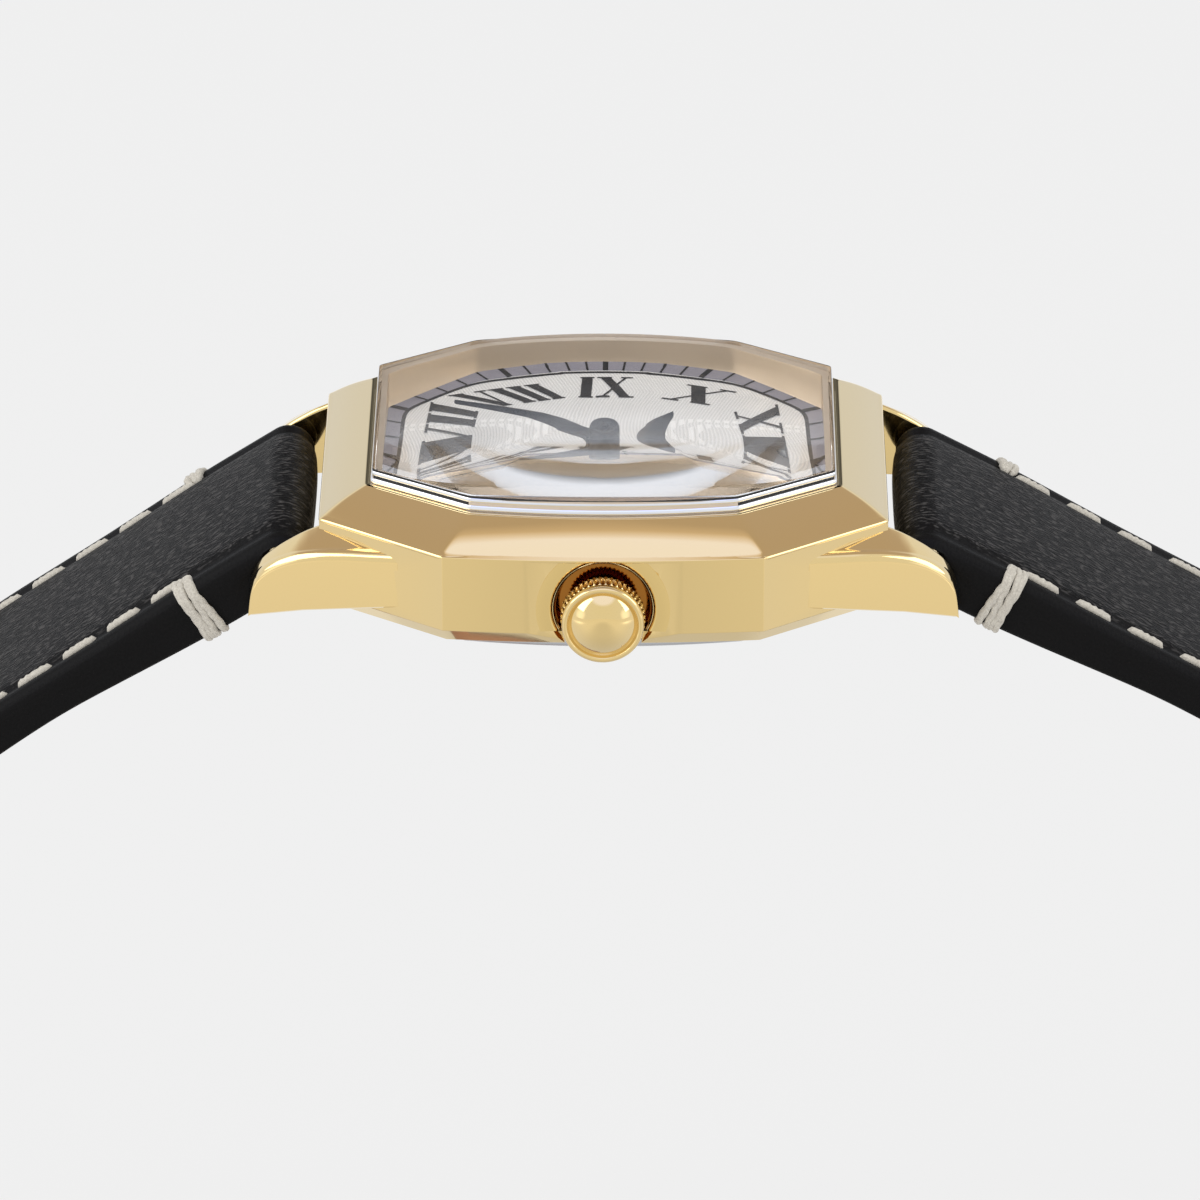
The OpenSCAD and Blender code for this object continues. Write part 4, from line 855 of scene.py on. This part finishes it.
def foldPiece():
    # Beside the tongue's slot the short strap goes on, turns round the buckle's bar and comes back below. Rows: how
    # far ahead of the bar, turned by swing about it, between the radii inner and outer.
    length = pathA["length"]
    ahead = np.concatenate([np.linspace(-2.8, 0, 8), np.zeros(18), np.linspace(-0.2, -1.8, 4)])[:, None]
    swing = np.radians(np.concatenate([np.zeros(8), np.linspace(10, 180, 18), np.full(4, 180)]))[:, None]
    outer, inner = np.full(30, 1.14), np.full(30, 0.5)
    outer[:8] = np.linspace(float(topHeight(pathA, length - 2.8, 4.0)), 1.14, 8)
    inner[:8] = np.linspace(-0.3, 0.45, 8)
    across = np.array([0, 0.06, 0.3, 0.7, 0.92, 0.98, 1.0, 1.0, 0.98, 0.5, 0.02, 0])
    up = np.array([0.8, 0.97, 1, 1, 1, 0.93, 0.75, 0.2, 0.04, 0, 0.04, 0.2])
    near, far = 1.2, float(halfWide(pathA, length))
    h = inner[:, None] + (outer - inner)[:, None] * up
    ears, lays = [], []
    for side in (-1, 1):
        w = side * (near + (far - near) * across)
        ears.append(toSpace(pathA, length, w, h, ahead, swing))
        lays.append(layAt(length + ahead + swing * 1.1, w))
    skinObject("strapFold", ears, leather, "strap_12", lay=lays, slotName="strap_leather")


topPiece("strapTopShort", pathA, pathA["length"] - 2.7, "strap_12", ("strap_12_top",))
foldPiece()
topLong = topPiece("strapTopLong", pathB, 100.0, "strap_6", ("strap_6_top",))
liningPiece("strapLiningShort", pathA, pathA["length"] - 2.72, "strap_12", ("strap_12_lining",))
liningLong = liningPiece("strapLiningLong", pathB, 99.9, "strap_6", ("strap_6_lining",))
holePlan = dict(radius=0.8, places=np.arange(42, 79, 6))


def cutHoles(made):
    # Round cutters through the long strap, at each hole's place along its path
    cutter = bmesh.new()
    for s in holePlan["places"]:
        x, z, a = (float(v) for v in along(pathB, s))
        spot = Matrix.Translation((-x * mm, 0, z * mm)) @ Matrix.Rotation(-a, 4, "Y")
        bmesh.ops.create_cone(cutter, cap_ends=True, segments=48, radius1=holePlan["radius"] * mm,
                              radius2=holePlan["radius"] * mm, depth=0.007, matrix=spot)
    mesh = bpy.data.meshes.new("cutter")
    cutter.to_mesh(mesh)
    cutter.free()
    tool = bpy.data.objects.new("cutter", mesh)
    bpy.context.scene.collection.objects.link(tool)
    cut = made.modifiers.new("holes", "BOOLEAN")
    cut.object, cut.operation, cut.solver = tool, "DIFFERENCE", "EXACT"
    bake(made)
    bpy.data.objects.remove(tool)


cutHoles(topLong)
cutHoles(liningLong)
print("straps made")

# Stitches: a two-ply thread is a tube whose cross-section has two lobes that turn along it
stitchPlan = dict(length=2.1, radius=0.23, inset=1.2, lobes=0.34, turnsEach=2.6)


def heading(line):
    forward = np.gradient(line, axis=0)
    return forward / np.linalg.norm(forward, axis=1)[:, None]


def threadRings(line, up, radius, twist):
    # Rings of ten points round a thread's line, of radius (0.82 + lobes |cos(f - spin)|), drawn in at both ends
    side, up = np.cross(heading(line), up)[:, None], np.broadcast_to(up, line.shape)[:, None]
    f, n = circle(10), len(line)
    spin = np.linspace(0, twist * 2 * np.pi, n)[:, None]
    r = radius * (0.82 + stitchPlan["lobes"] * np.abs(np.cos(f - spin)))
    r = r * np.sqrt(np.clip(1 - np.linspace(-1, 1, n)[:, None] ** 8, 0.05, 1))
    return line[:, None] + (r * np.cos(f))[..., None] * side + (r * np.sin(f))[..., None] * up


def upward(path, s):
    x, z, a = along(path, s)
    return np.stack([path["side"] * np.sin(a), 0 * a, np.cos(a)], -1)


def stitchRow(name, path, first, pitch, last, body):
    # Two rows of stitches, each arched over the leather's face between its holes
    p, u, skins = stitchPlan, np.linspace(0, 1, 13), []
    rise = 0.13 * np.sqrt(np.clip(1 - (2 * u - 1) ** 4, 0, 1)) - 0.05
    for edge in (-1, 1):
        for start in np.arange(first, last - p["length"], pitch):
            s = start + u * p["length"]
            w = edge * (halfWide(path, s) - p["inset"]) + 0.05 * (u - 0.5) * edge
            line = toSpace(path, s, w, topHeight(path, s, w) + rise)
            skins.append(threadRings(line, upward(path, s), p["radius"], p["turnsEach"]))
    skinObject(name, skins, thread, body, slotName="strap_leather")


stitchRow("stitchesShort", pathA, 4.7, 3.0, 59.5, "strap_12")
stitchRow("stitchesLong", pathB, 4.85, 2.7, 91.0, "strap_6")


def barTack(name, path, middle, body):
    # Four threads side by side over each edge: from the face round the edge to the underside
    skins, (x, z, a) = [], along(path, middle)
    half, t = float(halfWide(path, middle)), float(thickAt(middle))
    w = np.concatenate([np.linspace(half - 1.25, half - 0.25, 12), np.full(12, half + 0.14),
                        np.linspace(half - 0.05, half - 0.7, 5)])
    lengthwise = np.array([path["side"] * math.cos(a), 0, -math.sin(a)])
    steps = np.arange(len(w))
    for edge in (-1, 1):
        for k in range(4):
            s = middle + (k - 1.5) * np.interp(steps, [0, 6, 28], [0.12, 0.25, 0.31])
            s = s + 0.09 * np.sin(steps / 4.5 + 2.3 * k)
            h = np.concatenate([topHeight(path, s[:12], w[:12]) + 0.08,
                                np.linspace(float(topHeight(path, middle, half)) - 0.05, -t / 2 - 0.05, 12),
                                np.full(5, -t / 2 - 0.16)])
            h[0] -= 0.25  # the thread's first end goes down its hole
            line = toSpace(path, s, edge * w, h)
            skins.append(threadRings(line, np.cross(lengthwise[None], heading(line)), 0.2, 4.0))
    skinObject(name, skins, thread, body, slotName="strap_leather")


barTack("barTackShort", pathA, 4.2, "strap_12")
barTack("barTackLong", pathB, 4.8, "strap_6")
print("stitching made")

# Keepers: a leather band laid round the strap, its ends butted and stitched on the underside. fixedAt is counted
# from the buckle's bar and freeAt from the end of the strap's first bend.
keeperPlan = dict(thick=0.8, wide=4.6, corner=0.7, edge=0.22, half=6.0, low=-1.05, high=3.45, fixedAt=-5.3, freeAt=5.5)


def keeperPiece(name, s, slack, body, replaced):
    # Loop: a rounded rectangle walked by length from the middle of its underside. Section: inner face, round edge,
    # outer face with a crease near each edge, round edge.
    k = keeperPlan
    low, r, thick, wide, e = k["low"] - slack, k["corner"], k["thick"], k["wide"] / 2, k["edge"]
    middle = (low + k["high"]) / 2
    a, b = k["half"] + slack - r, (k["high"] - low) / 2 - r
    corner = r * np.pi / 2
    starts = np.cumsum([0, a, corner, 2 * b, corner, 2 * a, corner, 2 * b, corner, a])
    end = starts[-1]
    walk = np.unique(np.concatenate([np.linspace(0, 0.3, 7), np.linspace(0.3, end - 0.3, 190),
                                     np.linspace(end - 0.3, end, 7)]))
    run = np.clip(np.searchsorted(starts, walk, side="right") - 1, 0, 8)
    # Of each run: quarter turns made before it, whether it is a corner, where its slide starts, and its middle
    table = np.array([(0, 0, 0, 0, -b), (0, 1, 0, a, -b), (1, 0, -b, a, 0), (1, 1, 0, a, b), (2, 0, -a, 0, b),
                      (2, 1, 0, -a, b), (3, 0, -b, -a, 0), (3, 1, 0, -a, -b), (4, 0, -a, 0, -b)])
    quarter, bends, slideFrom, centreW, centreH = table[run].T
    d = walk - starts[run]
    turn = quarter * np.pi / 2 + bends * d / r
    slide = (1 - bends) * (d + slideFrom)
    bend = np.radians(np.linspace(-90, 90, 9))
    v = np.concatenate([np.linspace(-wide + e, wide - e, 7), wide - e + e * np.cos(bend),
                        np.linspace(wide - e, -wide + e, 47)[1:-1], -wide + e - e * np.cos(bend[::-1])])
    f = np.concatenate([np.zeros(7), thick / 2 + thick / 2 * np.sin(bend), np.full(45, thick),
                        thick / 2 + thick / 2 * np.sin(bend[::-1])])
    crease = 0.1 * np.exp(-((np.abs(v) - wide + 0.62) / 0.13) ** 2)
    f = f + (f > thick - 0.001) * (0.1 * np.cos(v / wide * np.pi / 2) - crease)
    seam = 1 - 0.3 * np.exp(-(np.minimum(walk, end - walk) / 0.12) ** 2)
    depth = r + f[None] * seam[:, None]
    w = (centreW + slide * np.cos(turn))[:, None] + np.sin(turn)[:, None] * depth
    h = middle + (centreH + slide * np.sin(turn))[:, None] - np.cos(turn)[:, None] * depth
    skinObject(name, toSpace(pathA, s, w, h, v)[:-1], leather, body, replaced, ring=True,
               lay=layAt(walk[:-1, None] + 20.0, v[None]), slotName="strap_leather")
    # Two stitches over the joint
    u = np.linspace(-1, 1, 15)
    rise = 0.1 * np.sqrt(np.clip(1 - u ** 4, 0, 1)) - 0.06
    lines = [toSpace(pathA, s, u * 0.9, low - thick - rise - 0.1, side) for side in (-1, 1)]
    skinObject(name + "Stitches", [threadRings(line, upward(pathA, s), 0.16, 1.6) for line in lines], thread, body,
               slotName="strap_leather")


keeperPiece("fixedLoop", pathA["length"] + keeperPlan["fixedAt"], 0.02, "strap_12", ("fixed_keeper",))
firstBend = sum(length for length, turn in pathA["runs"][:3])
keeperPiece("freeLoop", firstBend + keeperPlan["freeAt"], 0.6, "free_keeper", ("free_keeper",))

# Buckle: a bent frame with round edges, heavier in front, with a notch for the tongue's tip. Lengths run from the
# bar to the front, and (side, swell) is the arms' half width and what they gain on the way.
bucklePlan = dict(length=9.6, opening=6.5, rim=1.7, back=-1.1, low=-0.85, armTop=0.65, frontTop=0.95, arc=14.4,
                  notch=1.05, notchDeep=0.72, corner=0.9, straight=6.2, side=7.8, swell=0.4, join=7.1)


def bucklePiece():
    # Cross-sections from one arm's end round the front bar to the other: each runs from the outer curve to the inner
    # one, with a superellipse for its rounding
    b = bucklePlan
    front, inner, r = b["length"], b["length"] - b["rim"], b["corner"]
    arm, fan, bar = np.linspace(b["back"], b["straight"], 26), np.radians(np.linspace(0, 90, 12))[1:-1], \
        np.linspace(1, -1, 61)
    arcU = lambda w: np.sqrt(b["arc"] ** 2 - w ** 2) - b["arc"] + front
    flip = lambda parts: np.concatenate([*parts, np.concatenate(parts[:2])[::-1] * [1, -1]])
    outer = flip([np.column_stack([arm, b["side"] + b["swell"] * ease((arm - 1.0) / 4)]),
                  np.column_stack([b["straight"] + (arcU(b["join"]) - b["straight"]) * np.sin(fan),
                                   b["join"] + (b["side"] + b["swell"] - b["join"]) * np.cos(fan)]),
                  np.column_stack([arcU(b["join"] * bar), b["join"] * bar])])
    hole = flip([np.column_stack([np.linspace(b["back"], inner - r, 26), np.full(26, b["opening"])]),
                 np.column_stack([inner - r + r * np.sin(fan), b["opening"] - r + r * np.cos(fan)]),
                 np.column_stack([np.full(61, inner), (b["opening"] - r) * bar])])
    top = b["armTop"] + (b["frontTop"] - b["armTop"]) * ease((outer[:, 0] - 5.6) / 1.6)
    nearMiddle = 1 - ease((np.abs(outer[:, 1]) - b["notch"]) / 0.35)
    top = top - b["notchDeep"] * nearMiddle * (outer[:, 0] > 7)
    t = circle(32)
    acrossShare = 0.5 + 0.5 * np.sign(np.cos(t)) * np.abs(np.cos(t)) ** 0.5
    upShare = 0.5 + 0.5 * np.sign(np.sin(t)) * np.abs(np.sin(t)) ** 0.62
    u, w = (outer[:, i:i + 1] * (1 - acrossShare) + hole[:, i:i + 1] * acrossShare for i in (0, 1))
    h = b["low"] * (1 - upShare) + top[:, None] * upShare
    skinObject("buckleFrame", toSpace(pathA, pathA["length"], w, h, u), gold, "buckle", ("buckle_frame",),
               slotName="gold_buckle", sharp=60)


bucklePiece()
softCopy("buckleTongue", "tongue", gold, "tongue", 0.22, 4)

# CAD nodes that keep their own shape
kept = {"crystal_gasket": seatTone, "cannon_pinion": brass, "hour_wheel": brass, "minute_wheel": brass,
        "third_wheel": brass, "intermediate_wheel": whitePlastic, "rotor": steel, "main_plate": brass,
        "train_bridge": steel, "bridge_screws": brightSteel, "circuit_board": board, "quartz_can": brightSteel,
        "stator": steel, "coil": copper, "battery": steel, "battery_clamp": steel, "movement_holder": whitePlastic,
        "setting_lever": steel, "clutch_wheel": steel, "stem": brightSteel, "crown_gasket": blackRubber,
        "crown_tube": brightSteel, "case_back_gasket": blackRubber, "spring_bar_12": brightSteel,
        "spring_bar_6": brightSteel, "buckle_bar": brightSteel}
for nodeName, look in kept.items():
    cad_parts[nodeName].data.materials.clear()
    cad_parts[nodeName].data.materials.append(look.material)
print("small parts dressed")

# Studio: pale floor and world, soft boxes round the watch
studio = dict(pale=0.86, floorZ=float(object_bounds()[0][2]), floorHalf=3.0, shownFloor=0.9)


def bell(t):
    return 2.718 ** (-1.0 * t ** 2.0)


def floorPiece():
    # The camera and mirrors see a glowing floor, and everything else a plain pale one
    look = Finish("paleFloor", (0.82, 0.82, 0.82), 0.9)
    seen, shine, through = rayKinds(look.tree)
    shown = studio["shownFloor"] * (seen + shine + through).clamp()
    # What the polished metal mirrors of the floor is painted light: a little darker straight in front, a painted shadow
    # close by, and painted bright pools at the sides
    x, y, z = look.parts(look.place(1.0))
    fade = ((y + 0.4) * 5.0).clamp()
    # Painted shade: a dark band straight in front of the watch
    front = bell(x / 0.045) * (y < 0.02) * fade
    # Painted shadow of the watch on the floor close by
    shadowNear = bell((y + 0.03) / 0.07)
    # Painted light: bright pools to each side
    glowPools = bell((abs(x) - 0.27) / 0.06) * bell((y + 0.17) / 0.08)
    tone = studio["pale"] + shine * (0.1 - 0.2 * front - 0.1 * shadowNear + 0.7 * glowPools)
    glow = look.tree.nodes.new("ShaderNodeEmission")
    connect(look.tree, glow.inputs["Color"], look.node("ShaderNodeCombineColor", {}, {0: tone, 1: tone, 2: tone}))
    mixer = look.tree.nodes.new("ShaderNodeMixShader")
    connect(look.tree, mixer.inputs[0], shown)
    look.tree.links.new(look.shader.outputs[0], mixer.inputs[1])
    look.tree.links.new(glow.outputs[0], mixer.inputs[2])
    look.tree.links.new(mixer.outputs[0], look.tree.nodes["Material Output"].inputs["Surface"])
    mesh, size = bpy.data.meshes.new("floor"), studio["floorHalf"]
    mesh.from_pydata([(sx * size, sy * size, studio["floorZ"]) for sx, sy in ((-1, -1), (1, -1), (1, 1), (-1, 1))],
                     [], [(0, 1, 2, 3)])
    floor = bpy.data.objects.new("floor", mesh)
    bpy.context.scene.collection.objects.link(floor)
    mesh.materials.append(look.material)


floorPiece()

world = bpy.data.worlds.new("studioWorld")
bpy.context.scene.world = world
world.use_nodes = True
worldTree = world.node_tree
back = worldTree.nodes["Background"]
spot = worldTree.nodes.new("ShaderNodeTexCoord")
split = worldTree.nodes.new("ShaderNodeSeparateXYZ")
worldTree.links.new(spot.outputs["Generated"], split.inputs[0])
across, depth, height = (Wire(worldTree, o) for o in split.outputs)
shown, glossy, through = rayKinds(worldTree)
mirrored, seenThrough = glossy * (1 - through), glossy * through


def between(wire, low, high):
    # 0 below low, 1 above high and even in between
    return ((wire - low) / (high - low)).clamp()


def patch(centre, wide, soft):
    # 1 inside a round patch of the sky about a direction, 0 outside it
    c = np.array(centre) / np.linalg.norm(centre)
    near = across * float(c[0]) + depth * float(c[1]) + height * float(c[2])
    return between(near, math.cos(math.radians(wide + soft)), math.cos(math.radians(wide)))


def darkCard(low, side):
    # A card behind the watch: from a height, fading in, to 0.62, and to a width on both sides
    upright = between(height, *low) * between(-1.0 * height, -0.74, -0.62)
    return upright * between(-1.0 * abs(across), *side) * (depth > 0.0)


# Overhead a cool soft box in front and a warm dark ceiling behind it; a dark card low behind the watch, which the
# crystal's top mirrors, with pale backdrop under it and beside it. The crystal's underside mirrors the sky above
# the horizon, where a second card keeps the numerals dark.
ceiling = patch((0, 0.25, 0.968), 34, 9) * between(depth, -0.07, 0.08)
overhead = patch((0, -0.35, 0.937), 24, 8)
card, cardThrough = darkCard((0.05, 0.12), (-0.26, -0.19)), darkCard((0.35, 0.46), (-0.42, -0.32))
sides = patch((-0.86, -0.5, 0.12), 5, 11) + patch((0.86, -0.5, 0.12), 5, 11)
low = patch((-0.36, 0.91, 0.21), 9, 9) + patch((0.36, 0.91, 0.21), 9, 9)
level = 0.94 + 0.18 * overhead - 0.42 * ceiling + (0.5 * sides - 0.8 * card - 0.13 * low) * mirrored
level = level - 0.7 * cardThrough * seenThrough
connect(worldTree, back.inputs["Strength"], shown * studio["pale"] + (1 - shown) * level)
overheadTint = mixColors(worldTree, overhead * (1 - through), (0.96, 0.99, 1.05), (0.97, 1.06, 1.6))
skyTint = mixColors(worldTree, ceiling, overheadTint, (1.06, 0.92, 0.86))
connect(worldTree, back.inputs["Color"], mixColors(worldTree, glossy * (1 - shown), (1, 1, 1), skyTint))


def turnTo(thing, spot, direction):
    thing.location = spot
    thing.rotation_mode = "QUATERNION"
    thing.rotation_quaternion = Vector(direction).to_track_quat("-Z", "Y")


def softBox(name, spot, size, power):
    # A square lamp that looks at the watch
    lamp = bpy.data.lights.new(name, "AREA")
    lamp.shape, lamp.size, lamp.size_y, lamp.energy = "RECTANGLE", size, size, power
    box = bpy.data.objects.new(name, lamp)
    bpy.context.scene.collection.objects.link(box)
    turnTo(box, spot, [-v for v in spot])
    return box


softBox("leftBox", (-0.45, -0.15, 0.35), 0.4, 1.2)
softBox("rightBox", (0.5, -0.1, 0.3), 0.35, 0.8)
softBox("topBox", (0, -0.05, 0.6), 0.5, 0.3).visible_glossy = False

cameraPlan = dict(azimuth=0.36, elevation=25.16, distance=0.4554, aim=(-0.000221, 0.0, -0.002578), lens=273.5)
cameraData = bpy.data.cameras.new("camera")
cameraData.lens, cameraData.sensor_width = cameraPlan["lens"], 36
cameraData.clip_start, cameraData.clip_end = 0.01, 20
camera = bpy.data.objects.new("camera", cameraData)
bpy.context.scene.collection.objects.link(camera)
bpy.context.scene.camera = camera
azimuth, elevation = math.radians(cameraPlan["azimuth"]), math.radians(cameraPlan["elevation"])
backward = np.array([math.sin(azimuth) * math.cos(elevation), -math.cos(azimuth) * math.cos(elevation),
                     math.sin(elevation)])
turnTo(camera, np.array(cameraPlan["aim"]) + backward * cameraPlan["distance"], -backward)

bpy.context.scene.view_settings.view_transform = "Standard"
light = bpy.context.scene.cycles
light.max_bounces, light.glossy_bounces, light.transmission_bounces = 24, 16, 20
print("scene ready")
